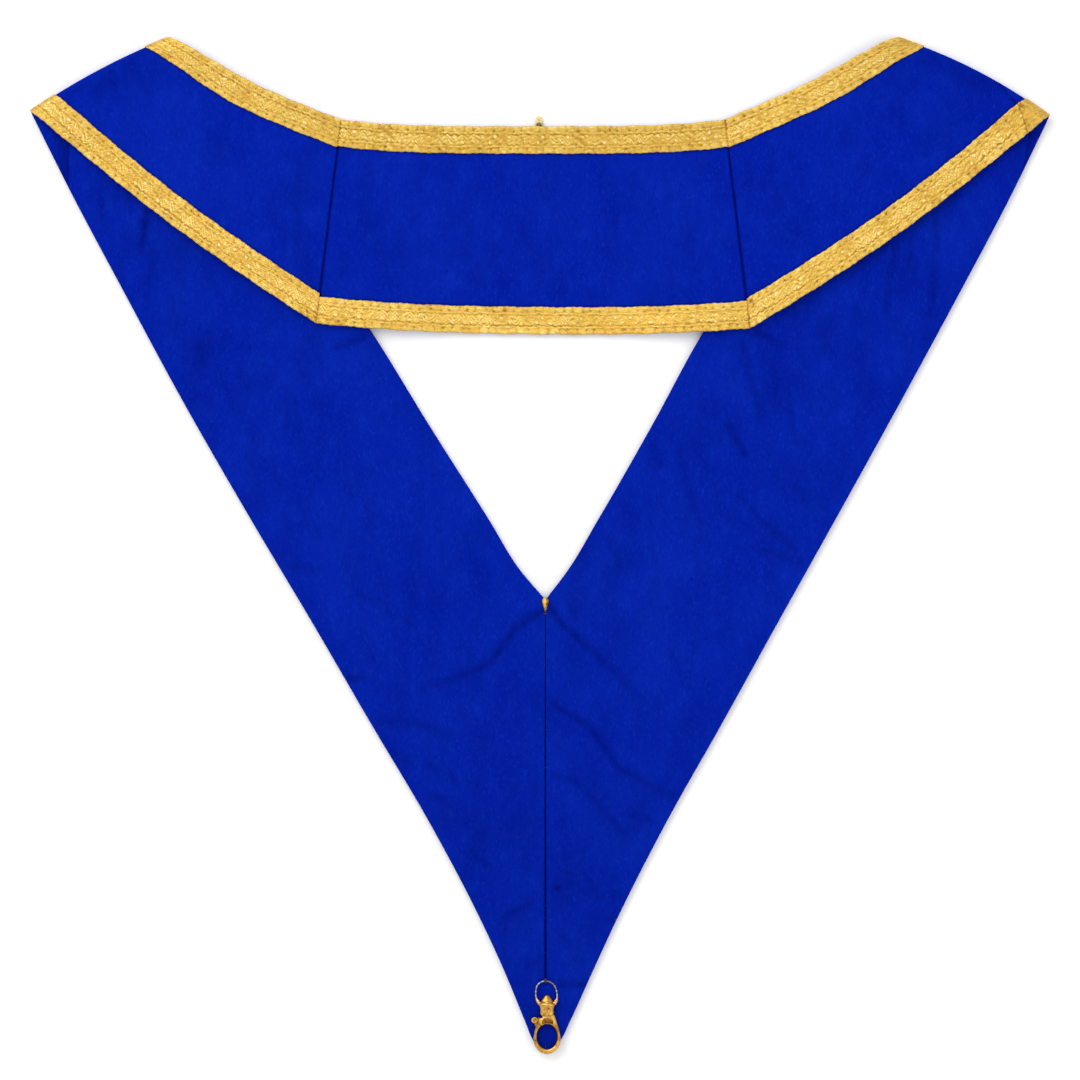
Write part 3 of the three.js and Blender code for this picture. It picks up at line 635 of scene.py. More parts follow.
def ruling_sine(side, place, edge):
    """The sine of the angle between a ruling and an edge, by a short step along that edge. Round
    the fold it goes evenly from its value above the fold to its value below."""

    def sine(start, at):
        """The sine between the edge's way at one place and the ruling at another."""
        ahead = strip_edges(side, start + EDGE_STRETCH)[edge] - strip_edges(side, start)[edge]
        inner, outer = strip_edges(side, at)
        return np.abs(cross(unit(ahead), unit(outer - inner)))

    above = np.clip(place, 0.0, 1.0)
    below = np.clip(place, 2.0 + 1e-9, 3.0)
    last = 3.0 - TIP_STRETCH - EDGE_STRETCH
    sine_above = sine(np.minimum(above, 1.0 - EDGE_STRETCH), above)
    sine_below = sine(np.clip(below, 2.0 + EDGE_STRETCH, last), below)
    return mix(sine_above, sine_below, np.clip(place - 1.0, 0.0, 1.0))


def reach_share(side, place, edge, reach):
    """The share across the strip of a point at a real distance in from one of its edges."""
    inner, outer = strip_edges(side, place)
    share = reach / ruling_sine(side, place, edge) / np.linalg.norm(outer - inner, axis=-1)
    return share if edge == 0 else 1.0 - share


def lace_width(side, place, edge):
    """The lace's width seen: the inner edge's lace is drawn narrower towards the fold."""
    narrow = PEAK_NARROW[side.name] * ease((place - 0.5) / 0.5) * ease((1.9 - place) / 0.4)
    return BRAID_WIDTH * (1.0 - narrow * (edge == 0))


def edge_distances(side, place, across):
    """The real distances of a point from the strip's inner and outer edges."""
    inner, outer = strip_edges(side, place)
    ruling = np.linalg.norm(outer - inner, axis=-1)
    from_inner = across * ruling * ruling_sine(side, place, 0)
    return from_inner, (1.0 - across) * ruling * ruling_sine(side, place, 1)


def fold_lean(side, place, across):
    """How far the strip slips along the fold line, so that its edges run straight on to it: the
    slope of an edge against the fold times the bend's reach, less what it regains by the sine
    of its turn, from nothing well above the fold to nothing at the fold's edge."""
    at_fold, before = (strip_edges(side, np.float64(at)) for at in (1.0, 1.0 - LEAN_SLOPE_RUN))
    slopes = [(ahead @ side.along) / (ahead @ side.outward) for ahead in np.subtract(at_fold, before)]
    turned = np.sin(np.clip(place - 1.0, 0.0, 0.5) * math.pi)
    near = ease((place - LEAN_FROM) / (1.0 - LEAN_FROM))
    return -mix(slopes[0], slopes[1], across) * BEND_REACH * (1.0 - turned) * near * (place < 1.5)


def strip_point(side, place, across, ply, sunk=0.0):
    """A point of a side's strip. Above the fold its height is the fold's plus the ply, with a
    loft of two fold radii that dies away from the fold, less the drape. Round the fold it turns
    on a circle of the fold radius plus the ply. Below, it is the fold's less the ply."""
    inner, outer = strip_edges(side, place)
    flat = inner + (outer - inner) * across[..., None]
    from_fold = np.abs(cross(flat - side.fold_peak, side.along))
    near_fold = 1.0 - ease(from_fold / LOFT_LENGTH)
    push = FOLD_BOW * side.shares["fold_bow"] * 4.0 * across * (1.0 - across) * near_fold
    turn = np.clip(place - 1.0, 0.0, 1.0) * math.pi
    radius = FOLD_RADIUS + ply
    plan = flat + side.outward * (push + radius * np.sin(turn))[..., None]
    plan = plan + side.along * fold_lean(side, place, across)[..., None]
    above = FOLD_HEIGHT + 2.0 * FOLD_RADIUS * near_fold + ply - drape(flat)
    round_fold = FOLD_HEIGHT + FOLD_RADIUS + radius * np.cos(turn)
    below = FOLD_HEIGHT - ply - sunk
    z = np.where(place <= 1.0, above, np.where(place < 2.0, round_fold, below))
    return np.concatenate([plan, z[..., None]], axis=-1)


def belly(side, place, across):
    """How far the lappet's cloth settles between the braids that it lies on."""
    from_inner, from_outer = edge_distances(side, place, across)
    inside = np.minimum(from_inner, from_outer) - BRAID_WIDTH - EDGE_STEP
    settled = ease(inside / BELLY_EASE) * ease((place - 2.0) / BELLY_GROWTH)
    return (BRAID_WALL + PLY_GAP) * settled


# Creases, each from one place to another as pixels of the photograph's 1080, with its half width
# and depth in mm, a ridge where the depth is below 0, and how far its bottom is painted darker
# as shade (below 0, painted highlight along a ridge).
PIXEL = 0.49 * MM
PIXEL_MIDDLE = (540.0, 544.5)
LAPPET_CREASES = {
    "left": [
        {"from": (99, 196), "to": (103, 227), "wide": 1.4, "deep": 0.4, "dark": 0.25},
        {"from": (148, 210), "to": (142, 247), "wide": 1.4, "deep": 0.7, "dark": 0.5},
        {"from": (155, 254), "to": (146, 297), "wide": 1.7, "deep": 0.4, "dark": 0.25},
        {"from": (200, 344), "to": (204, 350), "wide": 3.0, "deep": 0.6, "dark": 0.35},
        {"from": (176, 331), "to": (203, 362), "wide": 6.0, "deep": 0.6, "dark": 0.12},
        {"from": (338, 347), "to": (364, 337), "wide": 1.6, "deep": 0.6, "dark": 0.4},
        {"from": (287, 393), "to": (288, 428), "wide": 1.1, "deep": 0.35, "dark": 0.25},
        {"from": (296, 401), "to": (300, 432), "wide": 1.1, "deep": 0.35, "dark": 0.2},
        {"from": (315, 335), "to": (315, 360), "wide": 2.0, "deep": -0.4, "dark": -0.1},
        {"from": (215, 366), "to": (269, 470), "wide": 2.0, "deep": 0.3, "dark": 0.12},
        {"from": (269, 470), "to": (315, 532), "wide": 2.0, "deep": 0.3, "dark": 0.12},
        {"from": (292, 567), "to": (315, 569), "wide": 1.4, "deep": 0.35, "dark": 0.25},
        {"from": (358, 594), "to": (412, 625), "wide": 1.6, "deep": 0.4, "dark": 0.2},
        {"from": (543, 610), "to": (514, 631), "wide": 1.5, "deep": 0.8, "dark": 0.6},
        {"from": (514, 631), "to": (493, 660), "wide": 1.5, "deep": 0.8, "dark": 0.55},
        {"from": (493, 660), "to": (479, 669), "wide": 1.5, "deep": 0.7, "dark": 0.5},
        {"from": (479, 669), "to": (450, 681), "wide": 1.6, "deep": 0.6, "dark": 0.4},
        {"from": (450, 681), "to": (425, 689), "wide": 1.6, "deep": 0.4, "dark": 0.3},
        {"from": (348, 678), "to": (362, 678), "wide": 1.2, "deep": 0.6, "dark": 0.5},
        {"from": (379, 722), "to": (418, 724), "wide": 1.4, "deep": 0.5, "dark": 0.3},
        {"from": (418, 724), "to": (450, 735), "wide": 1.4, "deep": 0.5, "dark": 0.3},
        {"from": (391, 753), "to": (414, 765), "wide": 1.3, "deep": 0.4, "dark": 0.2},
        {"from": (429, 764), "to": (454, 778), "wide": 1.3, "deep": 0.4, "dark": 0.28},
        {"from": (432, 796), "to": (448, 803), "wide": 1.3, "deep": 0.4, "dark": 0.28},
        {"from": (450, 820), "to": (493, 835), "wide": 5.0, "deep": 0.5, "dark": 0.15},
        {"from": (510, 828), "to": (532, 828), "wide": 4.0, "deep": 0.4, "dark": 0.15},
        {"from": (468, 851), "to": (489, 867), "wide": 1.3, "deep": 0.45, "dark": 0.28},
        {"from": (504, 917), "to": (532, 903), "wide": 1.3, "deep": 0.5, "dark": 0.32},
        {"from": (529, 964), "to": (535, 964), "wide": 1.3, "deep": 0.4, "dark": 0.3},
        {"from": (529, 767), "to": (518, 799), "wide": 1.2, "deep": -0.3, "dark": -0.1},
        {"from": (526, 1006), "to": (532, 1006), "wide": 1.3, "deep": 0.3, "dark": 0.3},
    ],
    "right": [
        {"from": (896, 243), "to": (887, 312), "wide": 1.5, "deep": 0.5, "dark": 0.3},
        {"from": (935, 212), "to": (937, 247), "wide": 1.5, "deep": 0.5, "dark": 0.3},
        {"from": (937, 247), "to": (933, 300), "wide": 1.5, "deep": 0.45, "dark": 0.3},
        {"from": (933, 300), "to": (929, 316), "wide": 1.4, "deep": 0.35, "dark": 0.25},
        {"from": (910, 235), "to": (912, 266), "wide": 1.3, "deep": 0.4, "dark": 0.25},
        {"from": (827, 324), "to": (825, 347), "wide": 3.6, "deep": 0.5, "dark": 0.25},
        {"from": (757, 331), "to": (785, 347), "wide": 1.6, "deep": 0.5, "dark": 0.35},
        {"from": (744, 343), "to": (761, 416), "wide": 1.6, "deep": 0.45, "dark": 0.28},
        {"from": (783, 351), "to": (783, 405), "wide": 2.0, "deep": -0.45, "dark": -0.1},
        {"from": (783, 405), "to": (788, 466), "wide": 2.0, "deep": -0.45, "dark": -0.1},
        {"from": (776, 370), "to": (779, 405), "wide": 1.2, "deep": 0.35, "dark": 0.25},
        {"from": (788, 385), "to": (796, 443), "wide": 1.2, "deep": 0.35, "dark": 0.25},
        {"from": (729, 426), "to": (744, 453), "wide": 1.5, "deep": 0.6, "dark": 0.45},
        {"from": (652, 443), "to": (661, 468), "wide": 1.4, "deep": 0.4, "dark": 0.25},
        {"from": (679, 447), "to": (684, 470), "wide": 1.4, "deep": 0.4, "dark": 0.25},
        {"from": (684, 470), "to": (696, 509), "wide": 1.4, "deep": 0.4, "dark": 0.25},
        {"from": (696, 509), "to": (704, 542), "wide": 1.4, "deep": 0.35, "dark": 0.22},
        {"from": (738, 493), "to": (761, 520), "wide": 1.5, "deep": 0.5, "dark": 0.3},
        {"from": (761, 520), "to": (796, 551), "wide": 1.5, "deep": 0.5, "dark": 0.3},
        {"from": (800, 493), "to": (815, 509), "wide": 3.6, "deep": 0.5, "dark": 0.2},
        {"from": (757, 547), "to": (800, 563), "wide": 1.4, "deep": 0.45, "dark": 0.28},
        {"from": (609, 536), "to": (621, 571), "wide": 1.4, "deep": 0.4, "dark": 0.25},
        {"from": (548, 606), "to": (564, 626), "wide": 1.5, "deep": 0.8, "dark": 0.6},
        {"from": (564, 626), "to": (586, 646), "wide": 1.5, "deep": 0.75, "dark": 0.5},
        {"from": (586, 646), "to": (614, 671), "wide": 1.6, "deep": 0.55, "dark": 0.35},
        {"from": (614, 671), "to": (634, 692), "wide": 1.6, "deep": 0.4, "dark": 0.25},
        {"from": (572, 611), "to": (575, 613), "wide": 2.4, "deep": 0.5, "dark": 0.35},
        {"from": (557, 646), "to": (593, 696), "wide": 1.6, "deep": -0.4, "dark": -0.1},
        {"from": (555, 706), "to": (586, 724), "wide": 1.4, "deep": 0.65, "dark": 0.5},
        {"from": (586, 724), "to": (604, 746), "wide": 1.4, "deep": 0.65, "dark": 0.5},
        {"from": (604, 746), "to": (618, 767), "wide": 1.4, "deep": 0.6, "dark": 0.45},
        {"from": (618, 767), "to": (643, 781), "wide": 1.4, "deep": 0.5, "dark": 0.4},
        {"from": (643, 781), "to": (675, 797), "wide": 1.4, "deep": 0.4, "dark": 0.3},
        {"from": (554, 776), "to": (575, 781), "wide": 1.3, "deep": 0.45, "dark": 0.3},
        {"from": (575, 781), "to": (596, 803), "wide": 1.3, "deep": 0.45, "dark": 0.3},
        {"from": (596, 803), "to": (625, 833), "wide": 1.3, "deep": 0.35, "dark": 0.22},
        {"from": (632, 815), "to": (648, 819), "wide": 1.3, "deep": 0.4, "dark": 0.3},
        {"from": (556, 886), "to": (558, 888), "wide": 1.6, "deep": 0.6, "dark": 0.55},
        {"from": (568, 888), "to": (598, 888), "wide": 7.0, "deep": 0.4, "dark": 0.12},
        {"from": (563, 938), "to": (565, 940), "wide": 1.5, "deep": 0.4, "dark": 0.35},
        {"from": (616, 892), "to": (620, 896), "wide": 1.2, "deep": 0.4, "dark": 0.3},
        {"from": (609, 920), "to": (613, 924), "wide": 1.2, "deep": 0.4, "dark": 0.3},
        {"from": (562, 985), "to": (586, 985), "wide": 1.3, "deep": 0.5, "dark": 0.5},
    ],
}
SHOULDER_CREASES = {
    "left": [
        {"from": (100, 90), "to": (135, 68), "wide": 4.0, "deep": 0.5, "dark": 0.28},
        {"from": (60, 104), "to": (90, 86), "wide": 2.5, "deep": 0.35, "dark": 0.15},
        {"from": (300, 150), "to": (296, 250), "wide": 2.5, "deep": 0.25, "dark": 0.1},
    ],
    "right": [
        {"from": (928, 60), "to": (985, 88), "wide": 4.0, "deep": 0.5, "dark": 0.28},
        {"from": (996, 81), "to": (1016, 105), "wide": 0.55, "deep": 0.45, "dark": 0.9},
        {"from": (1000, 80), "to": (1020, 104), "wide": 0.6, "deep": -0.25, "dark": -0.25},
        {"from": (770, 150), "to": (775, 240), "wide": 2.5, "deep": 0.25, "dark": 0.1},
    ],
}
RIDGE_BESIDE = 1.7
RIDGE_REACH = 0.9
RIDGE_SHARE = 0.35
RIDGE_SIDE = 3.0
RIDGE_SIDE_LIMIT = 60.0
BACK_FOLLOWS = 0.25
CREASE_SPREAD = 1.35
CREASE_UNEVEN = 0.3
# Painted shade in creases: how dark it is painted, and how patchy it is along the crease.
CREASE_PAINTED_SHADE = 0.8
CREASE_PATCHY = 0.3
CREASE_EDGE_EASE = 3.0 * MM
# The most painted highlight, as a negative value, that a cloth's painted shade may hold.
CREASE_LIGHTEST = -0.3
FOLD_EASE = 0.05
LOW_SHADE = 0.11
LOW_SHADE_Y = -20.0 * MM
LOW_SHADE_RUN = 190.0 * MM
CLASP_LEVEL_Y = -205.0 * MM
CLASP_EASE = 15.0 * MM
SEAM_CLOSED_Y = -217.0 * MM
SEAM_CLOSING = 4.0 * MM


def creased(p, rows):
    """The height and the painted shade that creases give: each dips as exp(-(d / wide)^2) by the
    distance from its line, with a low ridge beside it, and is painted darker as shade more
    narrowly; a ridge row gives painted highlight instead. Where they meet, the deepest and the
    darkest hold."""
    dip, rise, dark, light = (np.zeros(p.shape[:-1]) for _ in range(4))
    x, y = p[..., 0] / MM, p[..., 1] / MM
    uneven = np.sin(0.21 * x + 0.33 * y) * np.sin(0.13 * y - 0.27 * x + 1.0)
    patchy = np.sin(0.47 * x - 0.36 * y + 2.0) * np.sin(0.29 * x + 0.51 * y)
    for row in rows:
        start, end = (
            np.array([(right - PIXEL_MIDDLE[0]) * PIXEL, (PIXEL_MIDDLE[1] - down) * PIXEL])
            for right, down in (row["from"], row["to"])
        )
        line = end - start
        t = np.clip(((p - start) @ line) / (line @ line), 0.0, 1.0)
        away = np.linalg.norm(p - start - line * t[..., None], axis=-1) / (row["wide"] * MM)
        away = away / (CREASE_SPREAD + CREASE_UNEVEN * uneven)
        beside = RIDGE_SIDE * cross(p - start, unit(line)) / (row["wide"] * MM)
        side = 1.0 / (1.0 + np.exp(-np.clip(beside, -RIDGE_SIDE_LIMIT, RIDGE_SIDE_LIMIT)))
        ridge = RIDGE_SHARE * bump(away - RIDGE_BESIDE, RIDGE_REACH) * side
        deep = row["deep"] * MM
        if deep > 0:
            dip = np.maximum(dip, deep * np.exp(-away**2))
            rise = np.maximum(rise, deep * ridge)
            # Painted shade in the crease's bottom, patchy along it.
            shown = CREASE_PAINTED_SHADE + CREASE_PATCHY * patchy
            dark = np.maximum(dark, row["dark"] * shown * np.exp(-away**2))
        else:
            rise = np.maximum(rise, -deep * np.exp(-away**2))
            # Painted highlight along a ridge row, as a negative darkening.
            light = np.minimum(light, row["dark"] * np.exp(-away**2))
    return rise - dip, dark + light


def strip_ply(name, node, side, places, plies, inset_at, look, settles, columns, material):
    """One ply of a strip: rows at even steps, rings round the ply, creases and waves on its outer
    face with painted shade in the creases, seams sunk at its ends with painted lines of shade,
    painted shade lower down on a lining, and a blue line of painted shadow beside the braid."""
    start, end = places
    outer, outer_ply = np.float64(1.0), np.float64(plies[1])
    along_edge = lambda place: strip_point(side, place, outer, outer_ply)
    rows, length = even_places(along_edge, start, end, look["step"], look["seam_rows"][0],
                               look["seam_rows"][1])
    across, inset, up = ring_plan(columns, look["back"])
    place = np.broadcast_to(rows[:, None], (len(rows), len(across)))
    ear = EARS[side.name]
    slant = ear["run"] * np.clip((across - ear["start"]) / (1 - ear["start"]), 0, 1)
    at_start, at_end = look["ear"]
    onward = (rows[:, None] - rows[0]) / (rows[-1] - rows[0])
    place = place + slant * (at_start * (1.0 - onward) + at_end * onward)
    step_in = inset_at(rows[:, None])
    low = reach_share(side, rows[:, None], 0, step_in + inset)
    high = reach_share(side, rows[:, None], 1, step_in + inset)
    share = mix(low, high, across)
    ply = mix(plies[0], plies[1], up) if look["outer_face"] else mix(plies[1], plies[0], up)
    sunk = belly(side, place, share) if settles else 0.0
    point = strip_point(side, place, share, np.broadcast_to(ply, place.shape), sunk)
    plan = point[..., :2]
    height, dark = creased(plan, look["creases"])
    from_inner, from_outer = edge_distances(side, rows[:, None], share)
    from_edge = np.minimum(from_inner, from_outer)
    calm = ease((from_edge - look["calm"]) / WAVES_EASE)
    calm = calm * ease((plan[..., 1] - CLASP_LEVEL_Y) / CLASP_EASE)
    height = height * ease(from_edge / CREASE_EDGE_EASE) + undulation(point, look["waves"]) * calm
    to_start, to_end = length[:, None], length[-1] - length[:, None]
    seams = 0.0
    # Each open seam dips and is painted with a dark line of shade.
    for distance, sewn in ((to_start, look["sewn"][0]), (to_end, look["sewn"][1])):
        open_seam = sewn * ease((plan[..., 1] - SEAM_CLOSED_Y) / SEAM_CLOSING)
        seams = seams + open_seam * seam_sink(distance)
        dark = dark + SEAM_PAINTED_SHADE * open_seam * bump(distance, SEAM_LINE)
    flat_share = np.where(place <= 1.0, 1.0, ease((np.abs(place - 1.5) - 0.5) / FOLD_EASE))
    moved = (height * flat_share - seams) * mix(BACK_FOLLOWS * (height < 0), 1.0, up)
    point[..., 2] += np.where((place > 1.0) & (place < 2.0), 0.0, moved)
    if not look["outer_face"]:
        dark = dark + LOW_SHADE * ease((LOW_SHADE_Y - plan[..., 1]) / LOW_SHADE_RUN)
    if look["braid_shadow"]:
        for edge, distance in enumerate((from_inner, from_outer)):
            dark = dark + lace_shadow(distance - lace_width(side, rows[:, None], edge))
    # The point attribute carries the painted shade and painted highlight worked out above.
    piece = shell(name, point.reshape(-1, 3), ring_faces(*place.shape), material,
                  {"crease": np.clip(dark, CREASE_LIGHTEST, 1.0).ravel()})
    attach(piece, "collar")
    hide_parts(node)
    middle = np.float64(sum(plies) / 2)
    at_middle = lambda p, a: strip_point(side, p, a, middle)
    area = cut_area(at_middle, start, end)


def on_shoulder(place):
    """The shoulder's cloth lies a step inside its braid's edge, and the step closes at the fold."""
    return EDGE_STEP * (1.0 - np.clip(place - 1.0, 0.0, 1.0))


lining_cloth = cloth_material("lining_cloth", LINING_BLUE, LINING_LIGHT, CLOTH_DEEP)
SHOULDER_LENGTH = 90.0 * MM
SIDE_SEAM = HIDDEN_SEAM / SHOULDER_LENGTH
LOW_SEAM = 2.0 + SEAM_RUN / LAPPET_LENGTH
LOW_SEAM_END = LOW_SEAM + HIDDEN_SEAM / LAPPET_LENGTH
SHOULDER_LOOK = {
    "step": CLOTH_STEP, "seam_rows": (NEAR_SEAM_MM, ()), "back": BACK_COLUMNS, "calm": BRAID_WIDTH,
    "waves": 0.3 * MM, "sewn": (1.0, 0.0), "outer_face": True, "braid_shadow": True,
    "held": "folded", "ear": (0.0, 1.0),
}
FOLD_LINING_LOOK = SHOULDER_LOOK | {
    "step": HIDDEN_STEP, "seam_rows": ((), ()), "waves": 0.0, "sewn": (0.0, 0.6), "creases": [],
    "outer_face": False, "braid_shadow": False,
}
LAPPET_FACE_LOOK = FOLD_LINING_LOOK | {
    "outer_face": True, "sewn": (0.0, 0.0), "held": "laid", "ear": (1.0, 0.0),
}
LAPPET_LINING_LOOK = {
    "step": LAPPET_STEP, "seam_rows": (NEAR_SEAM_MM, NEAR_SEAM_MM), "back": BACK_COLUMNS,
    "calm": 2.0 * MM, "waves": 0.32 * MM, "sewn": (0.6, 1.0), "outer_face": False,
    "braid_shadow": False, "held": "laid", "ear": (1.0, 0.0),
}
for side in SIDES:
    strip_ply(
        f"shoulder_cloth_{side.name}", f"shoulder_face_{side.name}", side,
        (SIDE_SEAM, LOW_SEAM), (CLOTH_IN, CLOTH_OUT), on_shoulder,
        SHOULDER_LOOK | {"creases": SHOULDER_CREASES[side.name]},
        False, STRIP_COLUMNS, royal_cloth,
    )
    strip_ply(
        f"fold_lining_{side.name}", f"shoulder_lining_{side.name}", side,
        (SIDE_SEAM, LOW_SEAM), (LINING_IN, LINING_OUT), on_shoulder, FOLD_LINING_LOOK,
        False, HIDDEN_COLUMNS, lining_cloth,
    )
    strip_ply(
        f"lappet_cloth_{side.name}", f"lappet_face_{side.name}", side,
        (LOW_SEAM_END, 3.0), (CLOTH_IN, CLOTH_OUT), on_shoulder, LAPPET_FACE_LOOK,
        True, HIDDEN_COLUMNS, royal_cloth,
    )
    strip_ply(
        f"lappet_backing_{side.name}", f"lappet_lining_{side.name}", side,
        (LOW_SEAM_END, 3.0), (LINING_IN, LINING_OUT), on_shoulder,
        LAPPET_LINING_LOOK | {"creases": LAPPET_CREASES[side.name]}, True, LAPPET_COLUMNS,
        lining_cloth,
    )


# Gold lace braid.
# A woven metal-thread lace, 13.5 mm wide: a scalloped band with punched eyelets on each edge, a
# smooth cord inside each band, and down the middle a double cord that winds between pearls. It
# is sewn along every edge of the face cloth, so under the fold it lies face down.
LACE_ACROSS = 13.5
LACE_RIM = 0.35
LACE_LINE = 0.066
LACE_STEP = 0.36 * MM
LACE_COLUMNS = 40
LACE_BACK_COLUMNS = 6
HIDDEN_LACE_STEP = 1.2 * MM
HIDDEN_LACE_COLUMNS = 24
SHOWN_LACE = 45.0
SHOWN_LACE_STEP = 0.6
LACE_SUNK = 0.22 * MM
FOLD_PRESSED = 0.25 * MM
UNDER_STEP = 0.5 * MM
LACE_BASE = 0.66 * MM
LACE_HIGH = 0.55 * MM
LOBE_PITCH = 4.7
LOBE_REACH = 2.35
EYELET_IN = 2.25
EYELET_RADIUS = 0.5
CORD_IN = 3.2
CORD_HALF = 0.36
GROOVE_IN = 4.0
GROOVE_HALF = 0.32
WINDING_PITCH = 6.2
WINDING_SWING = 1.5
WINDING_SPLIT = 0.72
WINDING_HALF = 0.46
GROOVE_WAVE = 2.9
PEARL_RADIUS = 0.8
PEARL_SIDE = 1.25
GRAIN_WAVES = 26
GRAIN_SHORTEST = 0.9
GRAIN_LONGEST = 3.2
GRAIN_DRAWN = 0.55
LACE_SEED = 41
# The tone ramp: its brown end is the colour of painted shade in grooves and eyelets, its pale end
# that of painted highlight on cords and pearls.
LACE_TONES = [
    {"tone": 0.0, "colour": (0.150, 0.062, 0.006, 1.0)},
    {"tone": 0.22, "colour": (0.380, 0.182, 0.014, 1.0)},
    {"tone": 0.5, "colour": (0.605, 0.385, 0.060, 1.0)},
    {"tone": 0.72, "colour": (0.725, 0.515, 0.128, 1.0)},
    {"tone": 1.0, "colour": (0.860, 0.670, 0.330, 1.0)},
]
WORN_SCALE = 150.0
THREAD_SCALE = 1500.0
# Noises over the tone: warm patches, dark specks, and pale painted glints where the thread noise is
# low.
LACE_NOISES = [
    {"low": 0.45, "high": 0.75, "least": 0.0, "most": 0.45, "colour": (0.690, 0.375, 0.062, 1.0)},
    {"low": 0.6, "high": 0.8, "least": 0.0, "most": 0.55, "colour": (0.33, 0.17, 0.02, 1.0)},
    {"low": 0.26, "high": 0.42, "least": 0.5, "most": 0.0, "colour": (0.88, 0.73, 0.47, 1.0)},
]
WIRE = {"scale": 0.62, "uneven": 5.0, "detail": 2.0, "high": 0.10 * MM, "strength": 0.7}
THREAD_BUMP = {"high": 0.12 * MM, "strength": 0.5}
LACE_METALLIC = 0.6
LACE_ROUGH = 0.42
LACE_SHINE = 0.2


def lace_material(name):
    """Gold lace: colours by the tone attribute, which holds the weave's painted highlight and
    painted shade, varied by noise with painted glints, half metal, under a bump of fine
    slanting wire."""
    material, tree, shader, place = new_material(name)
    woven = tree.nodes.new("ShaderNodeUVMap")
    woven.uv_map = "along_piece"
    ramp = tree.nodes.new("ShaderNodeValToRGB")
    steps = ramp.color_ramp.elements
    for row in LACE_TONES[1:-1]:
        steps.new(row["tone"])
    for step, row in zip(steps, LACE_TONES):
        step.position = row["tone"]
        step.color = row["colour"]
    tree.links.new(link_attribute(tree, "tone"), ramp.inputs["Fac"])
    wear_and_shade = link_noise(tree, place, WORN_SCALE, 3.0)
    threads = link_noise(tree, place, THREAD_SCALE, 2.0)
    colour = ramp.outputs["Color"]
    # Warm patches and dark specks, then painted glints on the threads.
    for noise, row in zip((wear_and_shade, threads, threads), LACE_NOISES):
        share = link_range(tree, noise, row["low"], row["high"], row["least"], row["most"])
        colour = link_mix(tree, share, colour, row["colour"])
    tree.links.new(colour, shader.inputs["Base Color"])
    wire = tree.nodes.new("ShaderNodeTexWave")
    wire.bands_direction = "DIAGONAL"
    wire.inputs["Scale"].default_value = WIRE["scale"]
    wire.inputs["Distortion"].default_value = WIRE["uneven"]
    wire.inputs["Detail"].default_value = WIRE["detail"]
    tree.links.new(woven.outputs["UV"], wire.inputs["Vector"])
    normal = link_bump(tree, wire.outputs["Fac"], WIRE["high"], WIRE["strength"])
    normal = link_bump(tree, threads, THREAD_BUMP["high"], THREAD_BUMP["strength"], normal)
    tree.links.new(normal, shader.inputs["Normal"])
    shader.inputs["Metallic"].default_value = LACE_METALLIC
    shader.inputs["Roughness"].default_value = LACE_ROUGH
    shader.inputs["Specular IOR Level"].default_value = LACE_SHINE
    return material


gold_lace = lace_material("gold_lace")


def woven_grain(s, c, chance):
    """Uneven weaving as a sum of plane waves of 0.9 to 3.2 mm in every direction, from -1 to 1."""
    total = np.zeros(s.shape)
    for _ in range(GRAIN_WAVES):
        length = chance.uniform(GRAIN_SHORTEST, GRAIN_LONGEST)
        angle = chance.uniform(0.0, math.pi)
        phase = chance.uniform(0.0, 2 * math.pi)
        onward = GRAIN_DRAWN * s * math.cos(angle) + c * math.sin(angle)
        total += np.sin(2 * math.pi / length * onward + phase)
    return total / math.sqrt(GRAIN_WAVES)


